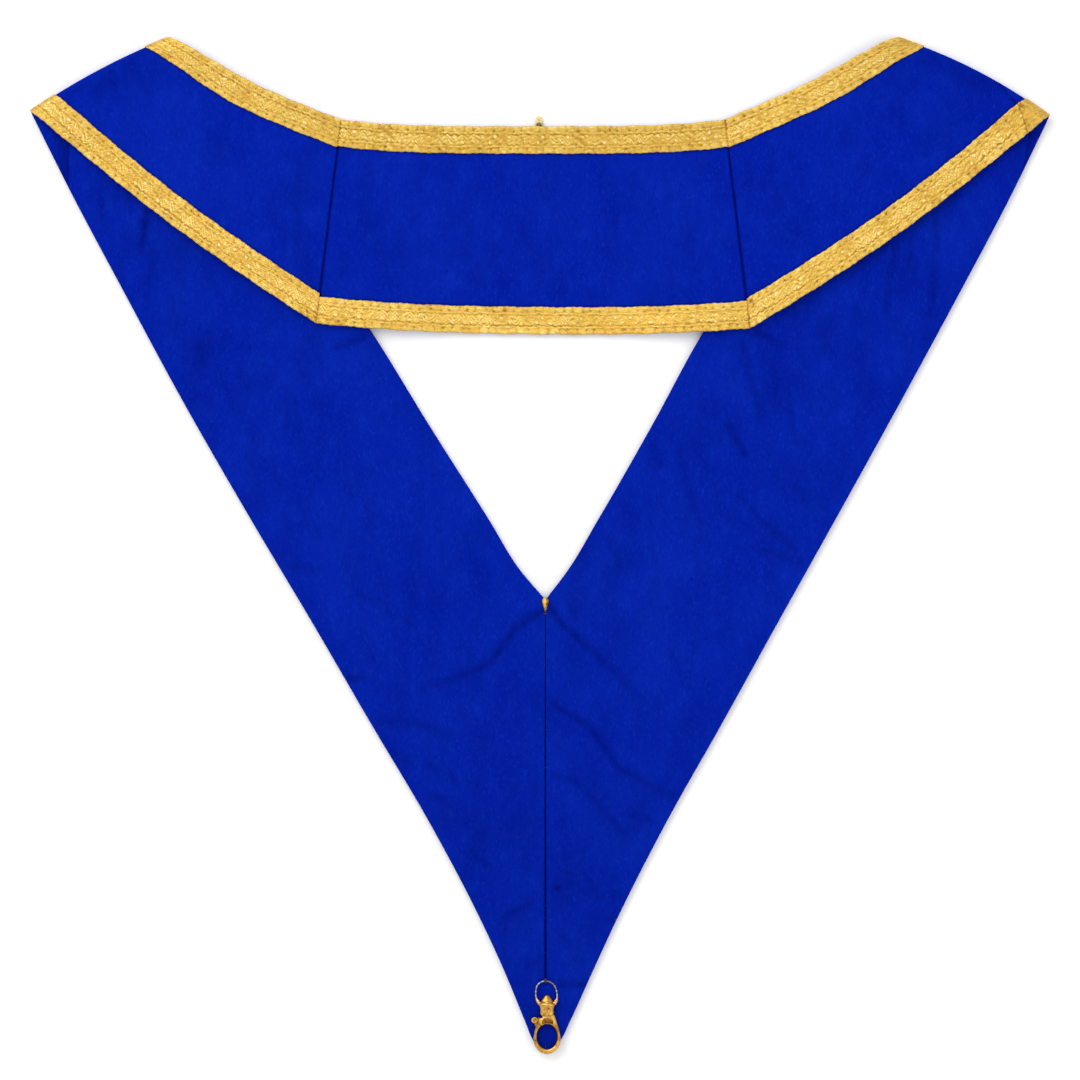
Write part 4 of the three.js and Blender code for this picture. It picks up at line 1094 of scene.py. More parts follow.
def lace_relief(along, in_from_edge, seed):
    """The lace's height (0 to 1) and tone (0 to 1) at distances along it and in from its outer
    edge, both in mm: lobes, eyelets, cords, a winding double cord and pearls are summed as domes
    and ridges, each repeat a little uneven, over a grain. The tone is painted highlight on the
    raised parts and painted shade in outlines, eyelets, grooves and round the pearls."""
    chance = np.random.default_rng(seed)
    uneven = chance.uniform(-1.0, 1.0, (6, 256))
    s, c = np.broadcast_arrays(along, in_from_edge)
    grain = woven_grain(s, c, chance)
    slow = woven_grain(s * 0.22, c * 0.1, chance)
    s = s + 0.55 * np.sin(0.53 * s + seed) + 0.9 * np.sin(0.11 * s + 2 * seed) + 0.16 * grain
    c = c + 0.20 * np.sin(0.47 * s + 1.7 * seed) + 0.07 * grain
    height = 0.38 + 0.14 * grain + 0.05 * slow
    tone = 0.49 + 0.105 * grain + 0.05 * slow
    for edge, e in ((0, c), (1, LACE_ACROSS - c)):
        shifted = s + 1.9 * edge
        lobe = np.floor(shifted / LOBE_PITCH).astype(int)
        wild = uneven[edge, lobe % 256]
        beside = (shifted - (lobe + 0.5) * LOBE_PITCH) / (0.5 * LOBE_PITCH)
        inside = 1.0 - np.abs(beside) ** 2.4 - (np.abs(e - 0.3 - 0.3 * wild) / LOBE_REACH) ** 2.2
        dome = np.sqrt(np.clip(inside, 0.0, 1.0))
        band = e < CORD_IN - 0.1
        height = height + np.where(band, (0.15 + 0.14 * wild) * dome, 0.0)
        # Painted highlight on each lobe's dome, then painted shade along its outline.
        tone = tone + np.where(band, 0.10 * dome - 0.03 + 0.08 * wild, 0.0)
        outline = bump(inside, 0.22) * band * np.clip(0.5 + 0.6 * wild + 0.5 * grain, 0.0, 1.0)
        tone = tone - 0.19 * outline
        height = height - 0.10 * outline
        hole = np.round(shifted / LOBE_PITCH)
        wild = uneven[edge + 2, hole.astype(int) % 256]
        away = np.hypot(shifted - hole * LOBE_PITCH - 0.3 * wild, 1.1 * (e - EYELET_IN + 0.35 * wild))
        pit = bump(away, EYELET_RADIUS) * (0.75 + 0.25 * wild)
        # Painted shade in each eyelet.
        height = height - 0.34 * pit
        tone = tone - 0.45 * pit
        cord = bump(e - CORD_IN, CORD_HALF) * (0.8 + 0.25 * slow)
        # Painted highlight on the cord.
        height = height + 0.24 * cord
        tone = tone + 0.20 * cord
        wavy = GROOVE_IN + (0.3 + 0.15 * slow) * np.sin(2 * math.pi * s / GROOVE_WAVE + 2.4 * edge)
        strength = np.clip((1.0 if edge == 0 else 0.6) * (0.8 + 0.45 * slow), 0.15, 1.3)
        dark = strength * bump(e - wavy, GROOVE_HALF)
        # Painted shade in the wavy groove.
        height = height - 0.22 * dark
        tone = tone - 0.40 * dark
    turn = 2 * math.pi * s / WINDING_PITCH
    swing = WINDING_SWING * (0.82 * np.sin(turn) - 0.1 * np.sin(3 * turn)) * (1.0 + 0.25 * slow)
    slope = WINDING_SWING * 0.82 * 2 * math.pi / WINDING_PITCH * np.cos(turn)
    steep = np.sqrt(1.0 + slope**2)
    clear = np.clip(0.62 + 0.55 * slow, 0.05, 1.0)
    for strand in (-1, 1):
        away = (c - LACE_ACROSS / 2 - swing - strand * WINDING_SPLIT * steep) / steep
        cord = bump(away, WINDING_HALF) * clear
        # Painted highlight on each strand and painted shade along its rims.
        height = height + 0.30 * cord
        tone = tone + 0.28 * cord
        rim = bump(np.abs(away) - 0.7, 0.22) * clear
        tone = tone - 0.15 * rim
        height = height - 0.10 * rim
    half = np.round(turn / math.pi - 0.5)
    sign = 1.0 - 2.0 * (half % 2)
    wild = uneven[4, half.astype(int) % 256]
    missing = uneven[5, half.astype(int) % 256] < -0.55
    away = np.hypot(s - (half + 0.5) * WINDING_PITCH / 2 - 0.2 * wild,
                    c - LACE_ACROSS / 2 + sign * (PEARL_SIDE + 0.25 * wild))
    away = away / (PEARL_RADIUS * (1.0 + 0.18 * wild)) + 3.0 * missing
    dome = np.sqrt(np.clip(1.0 - away**2, 0.0, 1.0))
    height = np.maximum(height, (0.40 + 0.36 * dome) * (away < 1.0))
    # Painted highlight on each pearl's dome and painted shade in a ring round it.
    tone = np.where(away < 1.0, 0.58 + (0.26 + 0.16 * wild) * dome, tone)
    tone = tone - 0.22 * bump(away - 1.12, 0.14)
    return np.clip(height, 0.0, 1.1), np.clip(tone, 0.02, 1.0)


def lace_piece(name, node, side, point_at, places, shares_at, edge_line, seed, hidden, held,
               slants=(0.0, 0.0), marks=(), faded=0.0):
    """A length of lace: rings round it at even steps, its face raised by the lace's relief, its
    rim a little scalloped and its cut ends darkened. The cuts may slant, brown marks lie at
    distances along and in, and the part round the fold may be drawn flatter and darker. Its
    rolled sides are painted darker as shade. A hidden length has wider rows past the stretch
    that shows."""
    step = HIDDEN_LACE_STEP if hidden else LACE_STEP
    shown = np.arange(0.0, SHOWN_LACE, SHOWN_LACE_STEP) if hidden and slants[0] else ()
    columns = HIDDEN_LACE_COLUMNS if hidden else LACE_COLUMNS
    rows, along = even_places(edge_line, places[0], places[1], step, shown)
    across, inset, up = ring_plan(columns, LACE_BACK_COLUMNS)
    s = along[:, None] / MM
    rim = 0.05 * MM * np.cos(2 * math.pi * s / LOBE_PITCH) + 0.14 * MM * np.sin(0.37 * s + seed)
    rim = rim + 0.08 * MM * np.sin(1.9 * s + 2 * seed)
    inset = inset + rim * (np.abs(across - 0.5) > 0.49)
    near, far = shares_at(rows[:, None], inset)
    share = mix(near, far, across)
    in_from_edge = mix(LACE_RIM, LACE_ACROSS - LACE_RIM, across) * np.ones_like(s)
    relief, tone = lace_relief(s, in_from_edge, LACE_SEED + seed)
    ends = np.minimum(s, s[-1] - s)
    tone = tone - 0.35 * bump(ends, 0.5)
    relief = relief * (1.0 - 0.45 * bump(ends, 0.8))
    # The part round the fold drawn flatter and plainer, with a darker tone.
    wear_and_shade = faded * (rows[:, None] < 1.6)
    relief = mix(relief, 0.45, 0.6 * wear_and_shade)
    tone = mix(tone, 0.40, 0.55 * wear_and_shade)
    pressed = 1.0 - ease((np.abs(rows[:, None] - 1.5) - 0.5) / 0.06) if side else 0.0
    ply = BRAID_IN - LACE_SUNK + up * (LACE_BASE + LACE_HIGH * relief * (1.0 - 0.5 * pressed))
    ply = ply - FOLD_PRESSED * pressed * mix(0.3, 1.0, up)
    way = (rows[:, None] - rows[0]) / (rows[-1] - rows[0])
    inward = in_from_edge / LACE_ACROSS
    place = rows[:, None] + inward * (slants[0] * (1.0 - way) ** 8 + slants[1] * way**8)
    point = point_at(place, share, ply)
    for mark in marks:
        away = np.hypot(s - mark["along"], in_from_edge - mark["in"])
        tone = tone - mark["dark"] * bump(away, mark["reach"])
    # Painted shade: the lace's rolled sides take a fixed darker tone, as does its hidden back.
    tone = np.where(up < 0.7, 0.3, np.clip(tone, 0.0, 1.0))
    wound = 1.0 if side is LEFT else -1.0
    uv = np.stack([wound * np.broadcast_to(s, ply.shape), in_from_edge], axis=-1)
    piece = shell(name, point.reshape(-1, 3), ring_faces(*ply.shape), gold_lace,
                  {"tone": tone.ravel(), "uv": uv.reshape(-1, 2)})
    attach(piece, "collar")
    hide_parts(node)


def neck_lace(name, from_top, seed):
    """A length of lace on one of the neck panel's edges."""
    def shares_at(place, inset):
        """The lace's two rims as shares across the panel, counted from its lower edge if need be."""
        near = inset / BAND_WIDTH
        far = (BRAID_WIDTH - inset) / BAND_WIDTH
        return (near, far) if from_top else (1.0 - near, 1.0 - far)

    middle = np.float64(LACE_LINE if from_top else 1.0 - LACE_LINE)
    line = lambda place: neck_point(place, middle, np.float64(BRAID_OUT))
    seam = HIDDEN_SEAM / NECK_SPAN
    lace_piece(name.replace("braid", "lace"), name, None, neck_point, (seam, 1 - seam), shares_at,
               line, seed, False, "laid")


neck_lace("neck_braid_upper", True, 1)
neck_lace("neck_braid_lower", False, 2)
OUTER_JOINTS = {
    "left": {"place": 2.012, "gap": 2 * HIDDEN_SEAM / LAPPET_LENGTH, "slant": 0.0, "faded": 0.0},
    "right": {"place": 0.945, "gap": 2 * SIDE_SEAM, "slant": 0.05, "faded": 1.0},
}
TIP_MARKS = [
    {"along": 1.2, "in": 12.0, "reach": 0.7, "dark": 0.5},
    {"along": 2.6, "in": 10.6, "reach": 0.6, "dark": 0.4},
    {"along": 0.9, "in": 8.6, "reach": 0.7, "dark": 0.35},
    {"along": 3.6, "in": 12.3, "reach": 0.6, "dark": 0.35},
    {"along": 0.9, "in": 5.2, "reach": 0.8, "dark": 0.3},
    {"along": 1.6, "in": 2.2, "reach": 0.9, "dark": 0.35},
]
TUCK_MARKS = [
    {"along": 2.6, "in": 11.6, "reach": 0.75, "dark": 0.75},
    {"along": 3.2, "in": 9.9, "reach": 0.6, "dark": 0.5},
    {"along": 3.4, "in": 8.4, "reach": 0.55, "dark": 0.35},
    {"along": 1.2, "in": 6.3, "reach": 0.5, "dark": 0.3},
]


def strip_lace(node, side, edge, places, seed, hidden, **cuts):
    """A length of lace on one edge of a side's strip, its own width in from that edge."""
    def shares_at(place, inset):
        """The lace's two rims as shares across the strip, stepped in where it runs underneath."""
        step_in = EDGE_STEP * np.clip(place - 1.0, 0.0, 1.0) + UNDER_STEP * ease((place - 2.0) / 0.06)
        near = reach_share(side, place, edge, step_in + inset)
        far = reach_share(side, place, edge, step_in + lace_width(side, place, edge) - inset)
        return near, far

    middle = lambda place: strip_point(
        side, place, reach_share(side, place, edge, BRAID_WIDTH / 2), np.float64(BRAID_OUT)
    )
    point_at = lambda place, share, ply: strip_point(side, place, share, ply)
    held = "laid" if hidden else "folded"
    lace_piece(node.replace("braid", "lace"), node, side, point_at, places, shares_at, middle,
               seed, hidden, held, **cuts)


for number, side in enumerate(SIDES):
    joint = OUTER_JOINTS[side.name]
    seed = 10 * (number + 1)
    strip_lace(f"shoulder_braid_inner_{side.name}", side, 0, (SIDE_SEAM, LOW_SEAM), seed, False)
    strip_lace(f"lappet_braid_inner_{side.name}", side, 0, (LOW_SEAM_END, 3.0), seed + 1, True)
    strip_lace(f"shoulder_braid_outer_{side.name}", side, 1, (SIDE_SEAM, joint["place"]),
               seed + 2, False, slants=(0.0, joint["slant"]),
               marks=TUCK_MARKS if side is RIGHT else ())
    strip_lace(f"lappet_braid_outer_{side.name}", side, 1,
               (joint["place"] + joint["gap"], 3.0), seed + 3, True, slants=(joint["slant"], 0.0),
               faded=joint["faded"], marks=TIP_MARKS if side is RIGHT else ())


# Cord loop at the back of the neck.
# A short end of pale gold cord, bent double and caught between the panel's two faces. Its two
# strands show as a twist, painted lighter on the ridges and darker in the grooves as shade, and
# its foot is painted dark as shade where it goes into the seam, with a dark plug between its
# feet as painted shade.
LOOP_OFFSET = -0.5 * MM
LOOP_WIDTH = 3.5 * MM
LOOP_HEIGHT = 5.1 * MM
LOOP_CORD = 1.75 * MM
LOOP_FOOT_CORD = 1.0 * MM
LOOP_SPREAD = 1.3 * MM
LOOP_TWIST = 2.4 * MM
LOOP_FOOT_IN = 0.9 * MM
SHADOW_PLUG_RADIUS = 0.72 * MM
SHADOW_PLUG_HIGH = 1.7 * MM
LOOP_LEVEL = (CLOTH_OUT - LINING_IN) / 2
LOOP_ROWS = 120
SHADOW_PLUG_ROWS = 30
CORD_SIDES = 24
SHADOW_PLUG_TWIST = 1.4 * MM
CORD_RIDGE = 0.1
CORD_GRAIN = {"scale": 1800.0, "low": 0.5, "high": 0.8, "most": 0.5, "bump": 0.08 * MM,
              "strength": 0.6}
CORD_SHINE = 0.3
# The cord's pale gold, and the dark brown of its painted shade and of its grain's dark threads.
CORD_PALE = (0.80, 0.70, 0.32, 1.0)
CORD_DARK = (0.145, 0.062, 0.010, 1.0)


def tube(path, radius, up, sides, twist=None, strands=2, depth=0.0):
    """Rings of points round a path: each point is the path's plus radius times the cosine of the
    turn sideways and its sine along the other normal. A twist adds ridges that wind round it."""
    ahead = np.gradient(path, axis=0)
    ahead = ahead / np.linalg.norm(ahead, axis=1, keepdims=True)
    sideways = np.cross(ahead, np.array(up, float))
    sideways = sideways / np.linalg.norm(sideways, axis=1, keepdims=True)
    other = np.cross(sideways, ahead)
    turn = np.linspace(0.0, 2 * math.pi, sides, endpoint=False)[None, :]
    runs = np.linalg.norm(np.diff(path, axis=0), axis=1)
    along = np.concatenate([[0.0], np.cumsum(runs)])[:, None]
    wide = np.broadcast_to(np.reshape(radius, (-1, 1)), (len(path), sides))
    ridge = np.zeros_like(wide)
    if twist:
        ridge = np.cos(strands * (turn - 2 * math.pi * along / twist))
        wide = wide * (1.0 + depth * ridge)
    ring = np.cos(turn)[..., None] * sideways[:, None] + np.sin(turn)[..., None] * other[:, None]
    return path[:, None] + wide[..., None] * ring, along, ridge


def smooth_path(corners, count):
    """A path through corners on cubic curves, at even shares of the corners' own spacing."""
    corners = np.array(corners, float)
    runs = np.linalg.norm(np.diff(corners, axis=0), axis=1)
    x = np.concatenate([[0.0], np.cumsum(runs)])
    slope = np.gradient(corners, x, axis=0)
    at = np.linspace(0.0, x[-1], count)
    return cubic_between(x, corners, slope, at)


def round_ends(count, share):
    """Radii that fall to nothing at both ends of a path, as a quarter circle over a share of it."""
    x = np.linspace(0.0, 1.0, count)
    near = np.clip(np.minimum(x, 1.0 - x) / share, 0.0, 1.0)
    return np.sqrt(np.clip(1.0 - (1.0 - near) ** 2, 0.0004, 1.0))


def cord_material(name, light, dark, metallic, roughness):
    """Twisted cord: painted highlight on its ridges and painted shade in its grooves, by the shade
    attribute, with finer threads as a bump."""
    material, tree, shader, place = new_material(name)
    grain = link_noise(tree, place, CORD_GRAIN["scale"], 2.0)
    # Painted shade: the shade attribute mixes the light colour towards the dark.
    colour = link_mix(tree, link_attribute(tree, "shade"), light, dark)
    share = link_range(tree, grain, CORD_GRAIN["low"], CORD_GRAIN["high"], 0.0, CORD_GRAIN["most"])
    colour = link_mix(tree, share, colour, dark)
    tree.links.new(colour, shader.inputs["Base Color"])
    normal = link_bump(tree, grain, CORD_GRAIN["bump"], CORD_GRAIN["strength"])
    tree.links.new(normal, shader.inputs["Normal"])
    shader.inputs["Metallic"].default_value = metallic
    shader.inputs["Roughness"].default_value = roughness
    shader.inputs["Specular IOR Level"].default_value = CORD_SHINE
    return material


def neck_cord():
    """Two legs that part at the foot and a half circle between them, as one twisted tube that
    goes into the seam, painted darker as shade at its foot, with a dark plug between its feet
    as painted shade."""
    half = (LOOP_WIDTH - LOOP_CORD) / 2
    foot = NECK_MID_Y - EDGE_STEP - LOOP_FOOT_IN
    high = NECK_MID_Y + LOOP_HEIGHT - LOOP_CORD / 2 - half
    arch = np.linspace(math.pi, 0.0, 9)
    legs = [(LOOP_SPREAD, foot), (LOOP_SPREAD, NECK_MID_Y + 0.4 * MM), (half, NECK_MID_Y + 2.1 * MM)]
    corners = [(LOOP_OFFSET - x, y, LOOP_LEVEL) for x, y in legs]
    corners += [(LOOP_OFFSET + half * math.cos(a), high + half * math.sin(a), LOOP_LEVEL)
                for a in arch]
    corners += [(LOOP_OFFSET + x, y, LOOP_LEVEL) for x, y in legs[::-1]]
    path = smooth_path(corners, LOOP_ROWS)
    full = ease((path[:, 1] - NECK_MID_Y - 0.2 * MM) / (1.5 * MM))
    loop, _, ridge = tube(path, mix(LOOP_FOOT_CORD, LOOP_CORD, full) / 2, (0, 0, 1), CORD_SIDES,
                          LOOP_TWIST, 2, CORD_RIDGE)
    # Painted shade at the foot, most between the legs, and painted highlight on the twist's ridges.
    low = 1.0 - ease((loop[..., 1] - NECK_MID_Y - 0.9 * MM) / (1.4 * MM))
    amid = ease((1.6 * MM - np.abs(loop[..., 0] - LOOP_OFFSET)) / (0.7 * MM))
    loop_shade = np.clip(0.04 - 0.16 * ridge + (0.35 + 0.55 * amid) * low, 0.0, 1.0)
    # A dark plug between the feet: painted shade for the shadowed opening there.
    rise = np.linspace(foot, NECK_MID_Y + SHADOW_PLUG_HIGH, SHADOW_PLUG_ROWS)
    sideways, level = np.full(SHADOW_PLUG_ROWS, LOOP_OFFSET), np.full(SHADOW_PLUG_ROWS, LOOP_LEVEL)
    shadow_plug, _, twist = tube(np.stack([sideways, rise, level], axis=-1),
                          SHADOW_PLUG_RADIUS * round_ends(SHADOW_PLUG_ROWS, 0.2), (0, 0, 1), CORD_SIDES,
                          SHADOW_PLUG_TWIST, 2, CORD_RIDGE)
    point = np.concatenate([loop.reshape(-1, 3), shadow_plug.reshape(-1, 3)])
    faces = ring_faces(*loop.shape[:2])
    faces += [f + loop.shape[0] * loop.shape[1] for f in ring_faces(*shadow_plug.shape[:2])]
    shade = np.concatenate([loop_shade.ravel(), np.clip(0.85 - 0.2 * twist, 0.0, 1.0).ravel()])
    cord = cord_material("pale_gold_cord", CORD_PALE, CORD_DARK, 0.1, 0.5)
    piece = shell("neck_cord", point, faces, cord, {"shade": shade})
    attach(piece, "collar")
    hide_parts("neck_loop")


neck_cord()


# Braid end and stitch at the apex of the V.
# The inner lace's mitred end, turned up over the lining as a small gold drop with sewn rims,
# and one brown stitch that holds its tip to the centre seam. The drop is painted darker as
# shade along its left and right rims, over its right half and towards its lower end.
DROP_WIDTH = 3.2 * MM
DROP_LENGTH = 7.4 * MM
DROP_TOP_Y = APEX_Y + 1.3 * MM
DROP_LOW = FOLD_HEIGHT - LINING_IN + PLY_GAP
DROP_DOME = 1.0 * MM
STITCH_DROP = 7.5 * MM
STITCH_SPAN = 1.3 * MM
STITCH_THREAD = 0.6 * MM
STITCH_TWIST = 0.9 * MM
STITCH_PLACES = 40
STITCH_BROWN = (0.10, 0.045, 0.02, 1.0)
STITCH_DARK = (0.03, 0.012, 0.006, 1.0)
DROP_SHAPE = [
    {"down": 0.0, "half": 0.02},
    {"down": 0.03, "half": 0.42},
    {"down": 0.09, "half": 0.78},
    {"down": 0.2, "half": 1.0},
    {"down": 0.4, "half": 0.93},
    {"down": 0.65, "half": 0.6},
    {"down": 0.9, "half": 0.2},
    {"down": 1.0, "half": 0.02},
]


def apex_drop():
    """A drop outline by its table, domed as the square root of 1 - (across)^2 over a flat back."""
    down = np.concatenate([np.linspace(0.0, 0.1, 14)[:-1], np.linspace(0.1, 1.0, 44)])[:, None]
    half = np.maximum(table_column(DROP_SHAPE, "half", down), 0.02) * DROP_WIDTH / 2
    turn = np.linspace(0.0, 2 * math.pi, 36, endpoint=False)[None, :]
    x = POINT_X + half * np.cos(turn)
    y = DROP_TOP_Y - DROP_LENGTH * down + 0.0 * turn
    over = np.sin(turn) > 0
    fold = 0.10 * MM * np.cos(5.0 * np.cos(turn)) * over
    rise = DROP_DOME * np.abs(np.sin(turn)) * np.sqrt(half / (DROP_WIDTH / 2))
    z = DROP_LOW + np.where(over, 0.25 * MM + 0.75 * rise + fold * half / DROP_WIDTH, 0.0)
    point = np.stack([x, y, z], axis=-1)
    # Painted shade: darker along the drop's left and right rims, over its right half and towards its
    # lower end; the stripes are the lace's own.
    rim = bump(np.abs(np.cos(turn)) - 1.0, 0.22) * over
    shaded_side = ease((np.cos(turn) + 0.1) / 0.6) + ease((down - 0.45) / 0.35)
    tone = 0.66 - 0.65 * rim + 0.12 * np.sin(2.2 * y / MM) * over - 0.6 * shaded_side
    tone = np.clip(tone, 0.0, 1.0) * np.ones_like(z)
    uv = np.stack([-y / MM, x / MM], axis=-1)
    piece = shell("apex_braid_drop", point.reshape(-1, 3), ring_faces(*z.shape), gold_lace,
                  {"tone": tone.ravel(), "uv": uv.reshape(-1, 2)})
    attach(piece, "collar")
    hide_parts("apex_braid_tab")


def apex_stitch():
    """One loop of thread over the centre seam: half a circle standing across it."""
    arch = np.linspace(-0.1, math.pi + 0.1, STITCH_PLACES)
    y = DROP_TOP_Y - STITCH_DROP - 0.6 * MM
    low = FOLD_HEIGHT - LINING_IN - 0.45 * MM
    path = np.stack([
        POINT_X + STITCH_SPAN / 2 * np.cos(arch),
        y + 0.15 * MM * np.cos(arch),
        low + 0.8 * MM * np.sin(arch),
    ], axis=-1)
    point, _, ridge = tube(path, STITCH_THREAD / 2, (0, 1, 0), 12, STITCH_TWIST, 2, CORD_RIDGE)
    thread = cord_material("brown_thread", STITCH_BROWN, STITCH_DARK, 0.0, 0.6)
    # Painted highlight on the thread's ridges and painted shade between them.
    piece = shell("apex_stitch", point.reshape(-1, 3), ring_faces(*point.shape[:2]), thread,
                  {"shade": np.clip(0.4 - 0.4 * ridge, 0, 1).ravel()})
    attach(piece, "collar")


apex_drop()
apex_stitch()


# Swivel bow and its stitch.
# A bent wire bow whose ends thicken into a foot, which turns on the clasp's rivet between barrel
# and head. Its plating is worn to a mottled grey and tan, and thread sews its top to the point.
CLASP_PLACE = np.array([3.45 * MM, -240.975 * MM, 5.8 * MM])
BARREL_DEPTH = 3.8
BARREL_WIDTH = 6.8
RING_WIDTH = 10.3
RING_RISE = 10.9
RING_WIRE = 1.0
RING_LEAN = 0.07
FOOT_MID = 16.25
FOOT_HALF_HEIGHT = 0.95
FOOT_HALF_SPAN = 4.75
BOW_SINK = 1.4
EYELET_INNER = 1.3
EYELET_OUTER = 1.9
BOW_SHAPE = [
    {"across": 0.74, "up": 0.0},
    {"across": 0.97, "up": 0.21},
    {"across": 1.0, "up": 0.5},
    {"across": 0.74, "up": 0.84},
    {"across": 0.0, "up": 1.0},
]
BOW_ROWS = 180
FOOT_ROWS = 60
BOW_SIDES = 20
# The bow's metal: bright and dull plating in patches, gilding, and the dark blue-black that its pits,
# its painted shade and its painted reflection of the cloth mix towards.
BOW_METAL = {
    "bright": (0.50, 0.50, 0.53, 1.0), "dull": (0.24, 0.18, 0.12, 1.0),
    "dark": (0.025, 0.025, 0.07, 1.0), "gilding": (0.72, 0.44, 0.17, 1.0),
    "roughness": 0.26, "patch_scale": 1300.0,
}
THREAD_ABREAST = (-0.42, 0.0, 0.42)
THREAD_RADIUS = 0.18
THREAD_TWIST = 1.1
THREAD_ARCH = 30
THREAD_BLUE = (0.05, 0.05, 0.11, 1.0)
THREAD_DARK = (0.008, 0.008, 0.05, 1.0)


def metal_material(name, bright, dull, dark, gilding, roughness, patch_scale):
    """Plated cast metal: two tones in patches, gold where the gilt attribute says, darker by the
    shade attribute (painted shade and painted reflection on sides and edges, darker in recesses,
    and some dark marks), fine pits as bumps, and a roughness that follows the patches."""
    material, tree, shader, place = new_material(name)
    patches = link_noise(tree, place, patch_scale, 3.0)
    pits = link_noise(tree, place, 2600.0, 3.0)
    colour = link_mix(tree, link_range(tree, patches, 0.42, 0.62, 0.0, 1.0), bright, dull)
    colour = link_mix(tree, link_attribute(tree, "gilt"), colour, gilding)
    # Painted shade: the shade attribute mixes the colour towards the dark.
    colour = link_mix(tree, link_attribute(tree, "shade"), colour, dark)
    colour = link_mix(tree, link_range(tree, pits, 0.62, 0.8, 0.0, 0.6), colour, dark)
    tree.links.new(colour, shader.inputs["Base Color"])
    rough = link_range(tree, patches, 0.35, 0.7, roughness, roughness + 0.16)
    tree.links.new(rough, shader.inputs["Roughness"])
    waves = link_noise(tree, place, 420.0, 2.0)
    normal = link_bump(tree, waves, 0.2 * MM, 0.12)
    tree.links.new(link_bump(tree, pits, 0.03 * MM, 0.4, normal), shader.inputs["Normal"])
    shader.inputs["Metallic"].default_value = 1.0
    return material


def in_clasp(points_mm):
    """Points of the clasp's own frame, in mm above the eye's middle, at their place."""
    return points_mm.reshape(-1, 3) * MM + CLASP_PLACE


def joined(parts):
    """Several closed surfaces as one mesh's points, faces and tones, each turned outwards."""
    points, faces, shades, gilts, start = [], [], [], [], 0
    for part in parts:
        grid, shade = part["grid"], part["shade"]
        sets = ring_faces(*grid.shape[:2]) if not part.get("loop") else loop_faces(*grid.shape[:2])
        flat = in_clasp(grid)
        points.append(flat)
        faces += [f + start for f in turned_outwards(flat, sets)]
        shades.append(np.broadcast_to(shade, grid.shape[:2]).ravel())
        gilts.append(np.broadcast_to(part.get("gilt", 0.0), grid.shape[:2]).ravel())
        start += len(flat)
    tones = {"shade": np.concatenate(shades), "gilt": np.concatenate(gilts)}
    return np.concatenate(points), faces, tones


def loop_faces(rows, ring):
    """Quads between neighbouring rings, with the last ring joined to the first."""
    i, j = np.meshgrid(np.arange(rows), np.arange(ring), indexing="ij")
    a, b = i * ring + j, i * ring + (j + 1) % ring
    c, d = ((i + 1) % rows) * ring + (j + 1) % ring, ((i + 1) % rows) * ring + j
    return [np.stack([a, b, c, d], axis=-1).reshape(-1, 4)]


def turned_along_y(profile, depth_share, sides=64):
    """A profile of radii and heights turned about the clasp's length and flattened in depth."""
    rows = smooth_path([(row["out"], row["up"], 0.0) for row in profile], 12 * len(profile))
    turn = np.linspace(0.0, 2 * math.pi, sides, endpoint=False)[None, :]
    out = np.maximum(rows[:, :1], 0.01)
    return np.stack([
        out * np.cos(turn), rows[:, 1:2] + 0.0 * turn, out * np.sin(turn) * depth_share,
    ], axis=-1)


def metal_piece(name, node, body, parts, material):
    """A hardware piece from its closed surfaces, riding on its body in place of its node."""
    points, faces, tones = joined(parts)
    piece = shell(name, points, faces, material, tones, 40.0)
    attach(piece, body)
    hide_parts(node)


